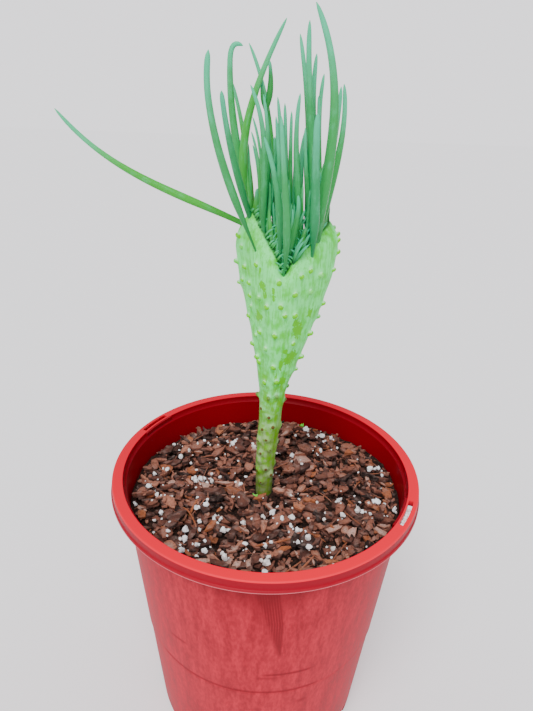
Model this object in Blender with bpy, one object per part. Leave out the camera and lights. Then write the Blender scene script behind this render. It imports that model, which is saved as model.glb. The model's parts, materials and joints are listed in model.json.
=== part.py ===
"""A crested senecio in a red nursery pot: the pot, its potting mix and the plant as three solids.

The origin is the centre of the pot's flat base. +Z is up and -Y is the side that the plant shows.
"""
import math
import random

import bmesh
import bpy
import numpy as np
from mathutils import Matrix, Vector
from mathutils.bvhtree import BVHTree

# Every size is in millimetres. MM turns it into Blender's metres.
MM = 0.001
SEAT_GAP = 0.3

# Pot, a standard 200 mm nursery pot
POT_SIDES = 50
POT_HEIGHT = 200.0
RIM_RADIUS = 100.0
RIM_INNER_RADIUS = 93.0
LIP_BOTTOM = 192.4
LIP_FLARE = 0.9
SHEET = 1.8
HEEL_RADIUS = 75.0
BODY_TAPER = 0.0885
NESTING_RING_HEIGHT = 88.0
NESTING_STEP = 0.5
FLOOR_TOP = 2.0

# Hanger slots in the rim, opposite each other, each with a thin bar on its inner side
SLOT_ANGLES = (-27.0, 151.0)
SLOT_RADIUS = 95.8
SLOT_WIDTH = 2.8
SLOT_HALF_ANGLE = 7.2
BAR_INNER_RADIUS = 91.9
BAR_DEPTH = 2.6

# Drainage slots that turn round the heel
DRAIN_COUNT = 8
DRAIN_FIRST_ANGLE = 10.0
DRAIN_WIDTH = 16.0
DRAIN_INNER_RADIUS = 58.0
DRAIN_TOP = 10.0

# Potting mix
MIX_SIDES = 32
MIX_LEVEL = 180.4
MIX_RINGS = (12.0, 26.0, 40.0, 54.0, 68.0, 80.0)
CHIP_COUNT = 116
CHIP_LIFT = 0.4
GRAIN_COUNT = 30
TWIG_COUNT = 5
STEM_CLEARANCE = 11.0

# Stem: where it stands, how deep it is buried, and its radius
STEM_FOOT_X = -0.9
STEM_FOOT_LEVEL = 118.0
STEM_FOOT_RADIUS = 5.6
STEM_STRAIGHT_TOP = 186.0
STEM_GROWTH = 0.03
FAN_START = 232.0
STEM_TOP_X = 5.6
STEM_LEAN_END = 320.0

# Crest: the points that its growing ridge passes, from the left arm over the notch to the right back
RIDGE = (
    (-17.2, 16.0, 350.0),
    (-15.4, 11.0, 359.0),
    (-11.6, 6.5, 364.5),
    (-8.0, 2.0, 359.0),
    (-2.5, -3.5, 350.0),
    (1.5, -7.2, 344.0),
    (5.0, -8.0, 334.0),
    (9.5, -7.0, 341.0),
    (14.5, -4.0, 347.0),
    (21.0, 0.0, 354.0),
    (26.8, 5.0, 358.0),
    (29.2, 11.5, 360.0),
    (27.4, 18.0, 362.0),
    (21.6, 22.5, 365.5),
)
# How far the fan spreads: it flares to its widest a little below the ridge and draws in again
WIDEST_SPREAD = 1.08
WIDEST_LEVEL = 0.93
FLARE = 1.1
DRAW_IN_LEVEL = 0.88
FRONT_HALF_THICKNESS = 6.0
BACK_HALF_THICKNESS = 4.0
RIDGE_ROUNDING = 0.07
SECTION_POINTS = 24
STEM_LEVELS = (-1.0, -0.7, -0.44, -0.3, -0.16)
FAN_LEVELS = (0.0, 0.1, 0.2, 0.3, 0.4, 0.5, 0.6, 0.7, 0.8, 0.88, 0.93, 0.965, 0.99, 1.0)

# Leaves. Each row holds root, tip, two sideways bows at one and two thirds, a lean towards the
# back at both thirds, and the width. The bows lie in the front view, plus to the right. One leaf
# has a hook as well, across and up: its end turns over to the right.
LEFT_LEAVES = (
    ((-15.0, 9.0, 356.0), (-115.0, 2.0, 414.0), (-3.0, -16.0), 0.0, 4.4),
    ((-7.5, -3.5, 341.0), (-35.0, -20.0, 441.0), (-4.0, -10.5), -7.0, 5.0),
    ((-8.5, -2.5, 345.0), (-29.0, -8.0, 425.0), (-2.5, -3.0), -3.0, 4.8),
    ((-13.0, 12.0, 358.0), (-21.0, 20.0, 450.0), (-5.0, -15.0), 3.0, 4.8, (2.0, -4.5)),
    ((-13.0, 12.0, 358.0), (1.5, 8.0, 458.0), (-19.0, -12.0), 6.0, 5.2),
    ((-12.0, 11.0, 357.0), (-27.0, 34.0, 430.0), (1.0, 3.0), 6.0, 3.6),
    ((-12.0, 10.0, 358.0), (-16.5, 18.0, 378.0), (-4.0, 2.0), 0.0, 2.4),
)
CENTRE_LEAVES = (
    ((-6.0, 1.0, 352.0), (-15.0, -6.0, 428.0), (0.0, 9.5), -2.0, 3.8),
    ((-3.0, -1.5, 348.0), (-9.0, 12.0, 424.0), (-2.5, 4.0), 3.0, 3.4),
    ((0.0, -4.0, 345.0), (-17.5, 26.0, 448.0), (2.5, 11.0), 8.0, 3.6),
    ((0.5, -5.0, 344.0), (-8.0, 15.5, 425.0), (6.0, -2.0), 4.0, 3.4),
    ((-7.5, 14.0, 416.0), (-6.5, 18.0, 440.0), (2.0, 2.0), 0.0, 3.4),
    ((-7.5, 14.0, 416.0), (-10.0, 15.0, 431.0), (-1.0, -1.0), 0.0, 2.4),
    ((3.0, -8.0, 341.0), (-7.5, -12.0, 405.0), (3.5, 5.0), -3.0, 4.0),
    ((5.0, -8.0, 327.0), (0.5, -22.0, 415.0), (5.0, 0.5), -7.0, 5.4),
    ((5.0, -7.0, 334.0), (-1.5, 14.0, 423.0), (0.5, 2.5), 4.0, 3.6),
    ((8.0, -6.5, 338.0), (2.5, 20.0, 420.0), (1.0, 1.0), 5.0, 3.6),
    ((9.0, -6.0, 339.0), (6.5, 26.0, 416.0), (2.0, 0.0), 6.0, 3.4),
    ((4.0, -7.5, 336.0), (-2.0, 2.0, 414.0), (0.0, 1.5), 3.0, 3.4),
    ((2.5, -7.0, 339.0), (-2.5, 8.0, 404.0), (0.5, 0.5), 3.0, 3.2),
    ((14.5, -3.0, 346.0), (10.0, 8.0, 425.0), (0.0, -5.0), 2.0, 4.0),
    ((12.0, -5.0, 343.0), (14.5, 22.0, 407.0), (-0.5, -4.0), 4.0, 3.0),
    ((13.5, -4.0, 345.0), (13.5, 14.0, 400.0), (0.0, -1.0), 2.0, 3.2),
)
RIGHT_LEAVES = (
    ((19.5, 1.0, 352.0), (13.0, 14.0, 458.0), (4.0, -2.0), 4.0, 5.0),
    ((18.5, 0.0, 351.0), (9.0, 26.0, 453.0), (3.5, 4.0), 6.0, 4.2),
    ((20.5, 0.0, 338.0), (17.5, -22.0, 417.0), (2.0, -1.0), -8.0, 6.0),
    ((22.5, 3.0, 354.0), (18.0, 22.0, 444.0), (0.5, -4.0), 4.0, 4.6),
    ((24.0, 5.0, 355.0), (23.0, 28.0, 435.0), (0.5, -4.0), 5.0, 4.0),
    ((23.5, 4.0, 354.0), (20.0, 18.0, 424.0), (-4.0, 2.0), 4.0, 3.6),
    ((23.0, 2.0, 342.0), (14.0, -16.0, 462.0), (1.5, 18.0), -10.0, 5.6),
    ((27.0, 9.0, 356.0), (32.0, 22.0, 429.0), (-2.0, 2.0), 6.0, 4.4),
    ((24.0, 3.0, 347.0), (31.5, 4.0, 430.0), (-1.0, 8.0), 0.0, 4.4),
    ((24.0, -0.5, 350.0), (21.5, -10.0, 389.0), (3.0, 0.0), -2.0, 3.0),
    ((19.5, 1.5, 351.0), (13.5, 6.0, 409.0), (0.5, -1.5), 2.0, 3.2),
)
SHORT_LEAVES = (
    ((9.0, -6.0, 340.0), (11.0, -9.0, 377.0), (-3.0, 3.0), -2.0, 3.8),
    ((8.0, -6.0, 339.0), (8.5, -9.0, 370.0), (-4.0, 2.0), -1.0, 2.6),
    ((11.5, -5.0, 342.0), (15.5, 0.0, 368.0), (-5.0, -1.5), -2.0, 2.6),
    ((12.0, -4.0, 344.0), (18.0, 2.0, 365.0), (-1.5, -4.5), -2.0, 2.6),
    ((9.7, -7.2, 339.3), (19.5, 0.0, 363.0), (4.0, -3.5), -3.0, 3.6),
    ((-6.0, 0.5, 353.0), (-1.0, 8.0, 367.0), (4.0, -4.0), 2.0, 1.8),
    ((-4.0, -2.0, 350.0), (0.0, 6.0, 361.5), (-4.0, 3.0), 0.0, 1.8),
)
INNER_LEAF_COUNT = 16
LEAF_SIDES = 5
HOOK_START = 0.82
LEAF_STEPS = 7
FRINGE_COUNT = 40

# Stubs that shed leaves left behind: those of the front by their place in the front view, across
# and up, and those of the outline by side, depth and height. A seeded rule adds those of the back.
STUB_LENGTH = 2.1
STUB_ROOT_RADIUS = 1.4
STUB_END_RADIUS = 0.9
BACK_STUB_COUNT = 36
BACK_STUB_SPACING = 8.0
FRONT_STUBS = (
    (-9.5, 338.0), (-13.0, 325.5), (3.0, 326.5), (15.0, 334.0), (20.0, 336.5),
    (26.0, 333.0), (12.0, 321.0), (20.5, 324.0), (-7.5, 319.0), (-3.0, 312.5),
    (4.5, 312.5), (7.0, 308.0), (12.5, 308.0), (-6.5, 297.0), (1.0, 297.5),
    (12.5, 292.5), (-2.5, 288.0), (-6.5, 276.5), (2.0, 277.0), (-2.5, 264.5),
    (4.0, 267.0), (0.0, 254.5), (4.5, 256.0), (-6.0, 247.5), (-4.0, 245.5),
    (0.5, 240.5), (-3.0, 231.0), (3.0, 233.5), (-0.5, 224.0), (-5.0, 221.5),
    (1.5, 216.5), (-3.5, 212.5),
)
EDGE_STUBS = (
    (-1, 8.0, 351.0), (-1, 6.0, 345.0), (-1, 4.0, 334.0), (-1, 2.0, 317.5),
    (-1, 2.0, 311.0), (-1, 0.0, 293.5), (-1, 0.0, 279.0), (1, 9.0, 353.0),
    (1, 8.0, 350.0), (1, 8.0, 343.5), (1, 4.0, 334.0), (1, 3.0, 314.0),
    (1, 0.0, 296.0), (1, 0.0, 280.5), (1, 0.0, 272.0),
)


def smoothstep(x):
    """Rise from 0 to 1 with no corner at either end."""
    x = np.clip(x, 0.0, 1.0)
    return x * x * (3.0 - 2.0 * x)


def through(points, t):
    """Read a smooth curve through the points, a Catmull-Rom spline, at t from 0 to 1."""
    knots = np.asarray(points, float)
    knots = np.vstack([2 * knots[0] - knots[1], knots, 2 * knots[-1] - knots[-2]])
    place = np.clip(np.asarray(t, float), 0.0, 1.0) * (len(points) - 1)
    first = np.minimum(place.astype(int), len(points) - 2)
    u = (place - first)[..., None]
    a, b, c, d = (knots[first + step] for step in range(4))
    return 0.5 * (2 * b + (c - a) * u + (2 * a - 5 * b + 4 * c - d) * u**2 + (3 * b - a - 3 * c + d) * u**3)


def new_object(name, points, faces):
    """Put points in millimetres and their faces into a new object."""
    mesh = bpy.data.meshes.new(name)
    mesh.from_pydata((np.asarray(points) * MM).tolist(), [], faces)
    mesh.validate()
    obj = bpy.data.objects.new(name, mesh)
    bpy.context.scene.collection.objects.link(obj)
    return obj


def rework(obj, action):
    """Run action on the object's mesh as a bmesh."""
    mesh = bmesh.new()
    mesh.from_mesh(obj.data)
    action(mesh)
    mesh.to_mesh(obj.data)
    mesh.free()


def face_outwards(obj):
    """Turn every face of a closed mesh outwards."""
    rework(obj, lambda mesh: bmesh.ops.recalc_face_normals(mesh, faces=mesh.faces))


def combine(target, parts, operation, solver="EXACT"):
    """Fuse parts to the target, or cut them from it, in one Boolean on a collection."""
    group = bpy.data.collections.new(target.name + "_parts")
    bpy.context.scene.collection.children.link(group)
    for part in parts:
        bpy.context.scene.collection.objects.unlink(part)
        group.objects.link(part)
        part.hide_render = True
        part.display_type = "WIRE"
    step = target.modifiers.new("combine", "BOOLEAN")
    step.operation = operation
    step.solver = solver
    step.operand_type = "COLLECTION"
    step.collection = group
    bpy.context.view_layer.objects.active = target
    bpy.ops.object.modifier_apply(modifier=step.name)
    for part in list(group.objects):
        bpy.data.objects.remove(part)
    bpy.data.collections.remove(group)


def shells(mesh):
    """Split a bmesh's faces into the shells that hang together."""
    left = set(mesh.faces)
    found = []
    while left:
        shell = {left.pop()}
        edge_of_search = list(shell)
        while edge_of_search:
            face = edge_of_search.pop()
            for edge in face.edges:
                for other in edge.link_faces:
                    if other in left:
                        left.remove(other)
                        shell.add(other)
                        edge_of_search.append(other)
        found.append(shell)
    return found


def keep_main_shell(obj):
    """Drop the loose scraps and fill the sealed hollows that fusing left."""
    def drop(mesh):
        bmesh.ops.triangulate(mesh, faces=mesh.faces)
        found = sorted(shells(mesh), key=len)
        extra = [face for shell in found[:-1] for face in shell]
        bmesh.ops.delete(mesh, geom=extra, context="FACES")
    rework(obj, drop)


def material(name, color, roughness):
    """A plain material in linear colour."""
    mat = bpy.data.materials.new(name)
    mat.use_nodes = True
    shader = mat.node_tree.nodes["Principled BSDF"]
    shader.inputs["Base Color"].default_value = (*color, 1.0)
    shader.inputs["Roughness"].default_value = roughness
    shader.inputs["Metallic"].default_value = 0.0
    return mat


def dress(obj, mat, sharp_degrees):
    """Give an object its material and smooth shading with sharp corners."""
    obj.data.materials.clear()
    obj.data.materials.append(mat)
    obj.data.shade_smooth()
    obj.data.set_sharp_from_angle(angle=math.radians(sharp_degrees))


# Pot


def body_radius(z):
    """The outside radius of the pot's tapered body, which steps out at the nesting ring."""
    return HEEL_RADIUS + BODY_TAPER * z + (NESTING_STEP if z > NESTING_RING_HEIGHT else 0.0)


def pot_profile():
    """The pot's section, from the centre of the underside round the rim to the centre of the floor."""
    ring = NESTING_RING_HEIGHT
    return [
        (0.0, 0.0),
        (HEEL_RADIUS - 3.2, 0.0),
        (HEEL_RADIUS - 0.6, 1.2),
        (body_radius(4.5), 4.5),
        (body_radius(ring), ring),
        (body_radius(ring) + NESTING_STEP, ring + 0.8),
        (body_radius(188.0), 188.0),
        (RIM_INNER_RADIUS - 0.2, 196.0),
        (RIM_INNER_RADIUS + 1.0, 198.2),
        (RIM_RADIUS - 2.2, 198.2),
        (RIM_RADIUS - 1.4, LIP_BOTTOM + 0.2),
        (RIM_RADIUS + LIP_FLARE, LIP_BOTTOM),
        (RIM_RADIUS + 0.1, LIP_BOTTOM + 1.8),
        (RIM_RADIUS, POT_HEIGHT - 1.0),
        (RIM_RADIUS - 0.9, POT_HEIGHT),
        (RIM_INNER_RADIUS + 0.6, POT_HEIGHT),
        (RIM_INNER_RADIUS, POT_HEIGHT - 0.8),
        (RIM_INNER_RADIUS - 1.8, 195.6),
        (body_radius(188.0) - SHEET, 187.6),
        (body_radius(ring + 1.0) - SHEET, ring + 1.0),
        (body_radius(ring - 1.0) - SHEET, ring - 1.0),
        (body_radius(5.0) - SHEET, 5.0),
        (HEEL_RADIUS - 4.0, FLOOR_TOP),
        (0.0, FLOOR_TOP),
    ]


def turned(name, profile, sides):
    """Spin a profile of radius and height round the Z axis into a closed solid."""
    obj = new_object(name, [(r, 0.0, z) for r, z in profile], [])

    def spin(mesh):
        mesh.verts.ensure_lookup_table()
        for first, second in zip(mesh.verts[:-1], mesh.verts[1:]):
            mesh.edges.new((first, second))
        bmesh.ops.spin(
            mesh,
            geom=mesh.verts[:] + mesh.edges[:],
            cent=(0.0, 0.0, 0.0),
            axis=(0.0, 0.0, 1.0),
            angle=math.tau,
            steps=sides,
            use_merge=True,
        )
        bmesh.ops.remove_doubles(mesh, verts=mesh.verts, dist=0.001 * MM)
        bmesh.ops.recalc_face_normals(mesh, faces=mesh.faces)

    rework(obj, spin)
    return obj


def ring_sector(name, inner, outer, bottom, top, middle_degrees, half_degrees, steps):
    """A solid piece of a ring, between two radii, two heights and two angles."""
    angles = np.radians(np.linspace(middle_degrees - half_degrees, middle_degrees + half_degrees, steps + 1))
    corners = ((inner, bottom), (outer, bottom), (outer, top), (inner, top))
    points = [(r * math.cos(a), r * math.sin(a), z) for a in angles for r, z in corners]
    faces = [(0, 1, 2, 3), tuple(4 * steps + corner for corner in (3, 2, 1, 0))]
    for step in range(steps):
        for corner in range(4):
            after = (corner + 1) % 4
            here = 4 * step
            faces.append((here + corner, here + 4 + corner, here + 4 + after, here + after))
    obj = new_object(name, points, faces)
    face_outwards(obj)
    return obj


def make_pot():
    """The turned pot with its two rim bars, its two hanger slots and its drainage slots."""
    pot = turned("pot", pot_profile(), POT_SIDES)
    bars = [
        ring_sector("bar", BAR_INNER_RADIUS, RIM_INNER_RADIUS + 0.5, POT_HEIGHT - BAR_DEPTH,
                    POT_HEIGHT - 0.3, angle, SLOT_HALF_ANGLE + 1.5, 4)
        for angle in SLOT_ANGLES
    ]
    combine(pot, bars, "UNION")
    cuts = [
        ring_sector("slot", SLOT_RADIUS - SLOT_WIDTH / 2, SLOT_RADIUS + SLOT_WIDTH / 2,
                    POT_HEIGHT - 4.0, POT_HEIGHT + 2.0, angle, SLOT_HALF_ANGLE, 4)
        for angle in SLOT_ANGLES
    ]
    half_angle = math.degrees(DRAIN_WIDTH / 2 / HEEL_RADIUS)
    for number in range(DRAIN_COUNT):
        angle = DRAIN_FIRST_ANGLE + 360.0 * number / DRAIN_COUNT
        cuts.append(ring_sector("drain", DRAIN_INNER_RADIUS, HEEL_RADIUS + 6.0, -2.0, DRAIN_TOP,
                                angle, half_angle, 2))
    combine(pot, cuts, "DIFFERENCE")
    dress(pot, material("red_plastic", (0.56, 0.045, 0.06), 0.38), 28)
    return pot


# Potting mix


def mix_height(x, y):
    """The mix's surface: level, a little higher to the right, with low lumps."""
    rise = 5.0 * smoothstep((x - 45.0) / 50.0) + 1.5 * smoothstep((-x - 60.0) / 30.0)
    lumps = 0.9 * np.sin(x / 9.0 + 1.3) * np.cos(y / 7.5 - 0.4) + 0.6 * np.sin((x + 1.7 * y) / 5.5)
    return MIX_LEVEL + rise + lumps


def mix_body():
    """The filled-in cone of mix, 0.3 mm inside the pot, with its lumpy top."""
    angles = np.linspace(0.0, math.tau, MIX_SIDES, endpoint=False)
    around = np.stack([np.cos(angles), np.sin(angles)], -1)
    top_radius = body_radius(185.0) - SHEET - SEAT_GAP - 0.4
    rows = []
    for radius in MIX_RINGS + (top_radius,):
        place = around * radius
        rows.append(np.column_stack([place, mix_height(place[:, 0], place[:, 1])]))
    ring = NESTING_RING_HEIGHT
    for z in (ring + 1.5, ring - 1.5, 6.0):
        radius = body_radius(z) - SHEET - SEAT_GAP
        rows.append(np.column_stack([around * radius, np.full(MIX_SIDES, z)]))
    floor = FLOOR_TOP + SEAT_GAP
    rows.append(np.column_stack([around * (HEEL_RADIUS - 5.0), np.full(MIX_SIDES, floor)]))
    points = np.vstack([[(0.0, 0.0, float(mix_height(0.0, 0.0)))], *rows, [(0.0, 0.0, floor)]])
    last = len(points) - 1
    faces = []
    for side in range(MIX_SIDES):
        after = (side + 1) % MIX_SIDES
        faces.append((0, 1 + side, 1 + after))
        for row in range(len(rows) - 1):
            here = 1 + row * MIX_SIDES
            faces.append((here + side, here + MIX_SIDES + side, here + MIX_SIDES + after, here + after))
        here = 1 + (len(rows) - 1) * MIX_SIDES
        faces.append((here + side, last, here + after))
    obj = new_object("potting_mix", points, faces)
    face_outwards(obj)
    return obj


def tilted(points, draw, tilt_degrees):
    """Turn points about Z by any angle and then tip them by up to the given angle."""
    turn = draw.uniform(0.0, math.tau)
    tip = math.radians(draw.uniform(0.0, tilt_degrees))
    way = draw.uniform(0.0, math.tau)
    c, s = math.cos(turn), math.sin(turn)
    spun = points @ np.array([[c, s, 0.0], [-s, c, 0.0], [0.0, 0.0, 1.0]])
    axis = np.array([math.cos(way), math.sin(way), 0.0])
    along = spun @ axis
    return (spun * math.cos(tip) + np.cross(axis, spun) * math.sin(tip)
            + np.outer(along, axis) * (1.0 - math.cos(tip)))


def scatter(draw, reach):
    """A random place on the mix, at least reach from the pot's wall and clear of the stem."""
    wall = body_radius(MIX_LEVEL) - SHEET - 2.0
    while True:
        radius = (wall - reach) * math.sqrt(draw.random())
        angle = draw.uniform(0.0, math.tau)
        x, y = radius * math.cos(angle), radius * math.sin(angle)
        if math.hypot(x - STEM_FOOT_X, y) > STEM_CLEARANCE + reach * 0.5:
            return x, y


def bark_chip(draw):
    """A flat flake of bark with five uneven corners, its lower side sunk in the mix."""
    length = draw.uniform(7.0, 19.0)
    width = length * draw.uniform(0.4, 0.8)
    thickness = draw.uniform(1.6, 2.8)
    corners = []
    for corner in range(5):
        angle = math.tau * corner / 5 + draw.uniform(-0.3, 0.3)
        reach = draw.uniform(0.8, 1.0) / 2
        corners.append((length * reach * math.cos(angle), width * reach * math.sin(angle)))
    points = np.array([(x, y, z * thickness / 2) for z in (-1, 1) for x, y in corners])
    faces = [(4, 3, 2, 1, 0), (5, 6, 7, 8, 9)]
    faces += [(side, (side + 1) % 5, 5 + (side + 1) % 5, 5 + side) for side in range(5)]
    x, y = scatter(draw, length / 2 + 1.0)
    place = np.array([x, y, float(mix_height(x, y)) + thickness * CHIP_LIFT])
    return new_object("chip", tilted(points, draw, 24.0) + place, faces)


def perlite_grain(draw):
    """A small rounded grain, an uneven octahedron."""
    radius = draw.uniform(1.3, 2.4)
    corners = ((1, 0, 0), (0, 1, 0), (-1, 0, 0), (0, -1, 0), (0, 0, 1), (0, 0, -1))
    points = np.array([np.array(corner) * radius * draw.uniform(0.85, 1.15) for corner in corners])
    faces = [(side, (side + 1) % 4, 4) for side in range(4)]
    faces += [((side + 1) % 4, side, 5) for side in range(4)]
    x, y = scatter(draw, radius + 1.0)
    place = np.array([x, y, float(mix_height(x, y)) + radius * 0.4])
    return new_object("grain", tilted(points, draw, 40.0) + place, faces)


def twig(draw):
    """A thin stick with a square section."""
    length = draw.uniform(18.0, 32.0)
    half = draw.uniform(0.5, 0.8)
    corners = ((-half, -half), (half, -half), (half, half), (-half, half))
    points = np.array([(end * length / 2, y, z) for end in (-1, 1) for y, z in corners])
    faces = [(3, 2, 1, 0), (4, 5, 6, 7)]
    faces += [(side, (side + 1) % 4, 4 + (side + 1) % 4, 4 + side) for side in range(4)]
    x, y = scatter(draw, length / 2 + 1.0)
    place = np.array([x, y, float(mix_height(x, y)) + 0.6])
    obj = new_object("twig", tilted(points, draw, 6.0) + place, faces)
    face_outwards(obj)
    return obj


def make_mix():
    """The mix with its chips, grains and twigs fused on, and the plain hole that the stem stands in."""
    draw = random.Random(34)
    mix = mix_body()
    loose = [bark_chip(draw) for _ in range(CHIP_COUNT)]
    loose += [perlite_grain(draw) for _ in range(GRAIN_COUNT)]
    loose += [twig(draw) for _ in range(TWIG_COUNT)]
    for piece in loose:
        face_outwards(piece)
    combine(mix, loose, "UNION", "MANIFOLD")
    bottom = STEM_FOOT_LEVEL - SEAT_GAP
    radius = STEM_FOOT_RADIUS + SEAT_GAP
    hole = turned("hole", [(0.0, bottom), (radius, bottom), (radius, 215.0), (0.0, 215.0)], 24)
    hole.data.transform(Matrix.Translation((STEM_FOOT_X * MM, 0.0, 0.0)))
    combine(mix, [hole], "DIFFERENCE", "MANIFOLD")
    keep_main_shell(mix)
    dress(mix, material("bark_mix", (0.13, 0.07, 0.05), 0.9), 30)
    return mix


# Plant


def ridge(q):
    """The growing ridge at q, from -1 at the left arm's end to 1 at the right back end."""
    return through(RIDGE, (np.asarray(q, float) + 1.0) / 2.0)


def axis_x(z):
    """The stem's centre line, which drifts to the right as it rises."""
    rise = (z - STEM_STRAIGHT_TOP) / (STEM_LEAN_END - STEM_STRAIGHT_TOP)
    return STEM_FOOT_X + (STEM_TOP_X - STEM_FOOT_X) * smoothstep(rise)


def skin(angle, level):
    """Points of the plant's skin in millimetres, for arrays of angle and level.

    angle runs once round the section: 0 is the right end of the fan, a quarter turn its front.
    level runs from -1 at the buried foot over 0, where the fan starts, to 1 at the growing ridge.
    The middle of the fan moves from the stem's axis out to the ridge as the fan flares. The
    section is that middle line, given a thickness along its normal and round ends along its run.
    """
    angle, level = np.broadcast_arrays(np.asarray(angle, float), np.asarray(level, float))
    fan = np.clip(level, 0.0, 1.0)
    along, across = np.cos(angle), np.sin(angle)
    top = ridge(along)
    step = 0.04
    run = ridge(np.clip(along + step, -1, 1)) - ridge(np.clip(along - step, -1, 1))
    local = smoothstep((fan - 0.15) / 0.5)
    flat = run[..., :2] / np.linalg.norm(run[..., :2], axis=-1, keepdims=True)
    flat = flat * local[..., None] + np.array([1.0, 0.0]) * (1.0 - local[..., None])
    flat = flat / np.linalg.norm(flat, axis=-1, keepdims=True)
    normal = np.stack([flat[..., 1], -flat[..., 0]], -1)

    height = FAN_START + fan * (top[..., 2] - FAN_START)
    height = np.where(level < 0.0, FAN_START + level * (FAN_START - STEM_FOOT_LEVEL), height)
    drawn_in = (WIDEST_SPREAD - 1.0) * smoothstep((fan - DRAW_IN_LEVEL) / (1.0 - DRAW_IN_LEVEL))
    spread = WIDEST_SPREAD * smoothstep((fan / WIDEST_LEVEL)**FLARE) - drawn_in
    radius = STEM_FOOT_RADIUS + STEM_GROWTH * np.maximum(height - STEM_STRAIGHT_TOP, 0.0)
    radius = np.minimum(radius, STEM_FOOT_RADIUS + STEM_GROWTH * (FAN_START - STEM_STRAIGHT_TOP))
    wide = smoothstep(fan / 0.6)
    thickness = np.where(across > 0.0, FRONT_HALF_THICKNESS, BACK_HALF_THICKNESS)
    thickness = radius * (1.0 - wide) + thickness * wide
    end = radius * (1.0 - wide) + (FRONT_HALF_THICKNESS + BACK_HALF_THICKNESS) / 2 * wide
    closing = np.clip((fan - (1.0 - RIDGE_ROUNDING)) / RIDGE_ROUNDING, 0.0, 1.0)
    closing = np.sqrt(1.0 - closing**2)
    power = 1.0 - 0.4 * wide
    bulge = np.sign(across) * np.abs(across)**power * thickness * closing
    ends = along * end * closing

    middle_x = axis_x(height) + spread * (top[..., 0] - STEM_TOP_X)
    middle_y = spread * top[..., 1]
    x = middle_x + normal[..., 0] * bulge + flat[..., 0] * ends
    y = middle_y + normal[..., 1] * bulge + flat[..., 1] * ends
    return np.stack([x, y, height], -1)


def crest_body():
    """The stem and crest as one closed skin: rings of the section, sewn shut along the ridge."""
    levels = np.array(STEM_LEVELS + FAN_LEVELS)
    angles = np.linspace(0.0, math.tau, SECTION_POINTS, endpoint=False)
    points = skin(angles[None, :], levels[:, None]).reshape(-1, 3)
    faces = [tuple(range(SECTION_POINTS))]
    for row in range(len(levels) - 1):
        here = row * SECTION_POINTS
        above = here + SECTION_POINTS
        for side in range(SECTION_POINTS):
            after = (side + 1) % SECTION_POINTS
            faces.append((here + side, here + after, above + after, above + side))
    obj = new_object("crested_stem", points, faces)

    def sew(mesh):
        bmesh.ops.remove_doubles(mesh, verts=mesh.verts, dist=0.001 * MM)
        bmesh.ops.triangulate(mesh, faces=mesh.faces)
        bmesh.ops.recalc_face_normals(mesh, faces=mesh.faces)

    rework(obj, sew)
    return obj


def tube(name, line, radii, sides):
    """A tapering round tube along a line, with a flat root and a pointed end."""
    forward = np.gradient(line, axis=0)
    forward /= np.linalg.norm(forward, axis=1, keepdims=True)
    side = np.cross(forward, (0.0, 1.0, 0.0))
    side /= np.linalg.norm(side, axis=1, keepdims=True)
    other = np.cross(side, forward)
    angles = np.linspace(0.0, math.tau, sides, endpoint=False)
    rings = (line[:-1, None, :] + radii[:-1, None, None]
             * (np.cos(angles)[None, :, None] * side[:-1, None, :]
                + np.sin(angles)[None, :, None] * other[:-1, None, :]))
    points = np.vstack([rings.reshape(-1, 3), line[-1:]])
    faces = [tuple(range(sides))]
    for ring in range(len(line) - 2):
        for corner in range(sides):
            after = (corner + 1) % sides
            here = ring * sides
            faces.append((here + corner, here + after, here + sides + after, here + sides + corner))
    here = (len(line) - 2) * sides
    faces += [(here + corner, here + (corner + 1) % sides, here + sides) for corner in range(sides)]
    obj = new_object(name, points, faces)
    face_outwards(obj)
    return obj


def leaf_line(root, tip, bows, lean, t, hook=(0.0, 0.0)):
    """The centre line of a leaf: a Bezier curve whose two middle points are bowed sideways.

    A hook moves the last stretch across and up, by the square of the way past the hook's start.
    """
    root, tip = np.array(root), np.array(tip)
    chord = tip - root
    sideways = np.array([chord[2], 0.0, -chord[0]])
    sideways /= np.linalg.norm(sideways)
    backwards = np.array([0.0, lean, 0.0])
    low = root + chord / 3 + sideways * bows[0] + backwards
    high = root + chord * 2 / 3 + sideways * bows[1] + backwards
    t = np.asarray(t, float)[:, None]
    curve = (1 - t)**3 * root + 3 * t * (1 - t)**2 * low + 3 * t**2 * (1 - t) * high + t**3 * tip
    past = np.clip((t - HOOK_START) / (1.0 - HOOK_START), 0.0, 1.0)
    return curve + past**2 * np.array([hook[0], 0.0, hook[1]])


def leaf_width(t):
    """The share of its full width that a leaf has at t: slimmer at its root, pointed at its tip."""
    root = 0.6 + 0.4 * np.sin(np.minimum(t / 0.5, 1.0) * math.pi / 2)
    return root * (1.0 - np.clip((t - 0.45) / 0.55, 0.0, 1.0)**2.6)


def leaf(root, tip, bows, lean, width, hook=(0.0, 0.0)):
    """One pencil-shaped leaf, with its rings closer together towards the tip."""
    t = np.linspace(0.0, 1.0, LEAF_STEPS)**0.85
    line = leaf_line(root, tip, bows, lean, t, hook)
    return tube("leaf", line, leaf_width(t) * width / 2, LEAF_SIDES)


def inner_leaves(draw):
    """Smaller leaves that fill the middle of the crest, rooted along its ridge."""
    made = []
    for number in range(INNER_LEAF_COUNT):
        q = -0.5 + 1.05 * (number + draw.uniform(0.1, 0.9)) / INNER_LEAF_COUNT
        foot = ridge(q) + np.array([0.0, 0.6, -3.0])
        length = draw.uniform(26.0, 62.0)
        tip = foot + np.array([draw.uniform(-6.0, 5.0), draw.uniform(2.0, 20.0), length])
        bows = (draw.uniform(-2.0, 3.0), draw.uniform(-2.0, 2.0))
        made.append(leaf(foot, tip, bows, draw.uniform(0.0, 5.0), draw.uniform(2.4, 3.4)))
    return made


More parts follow.
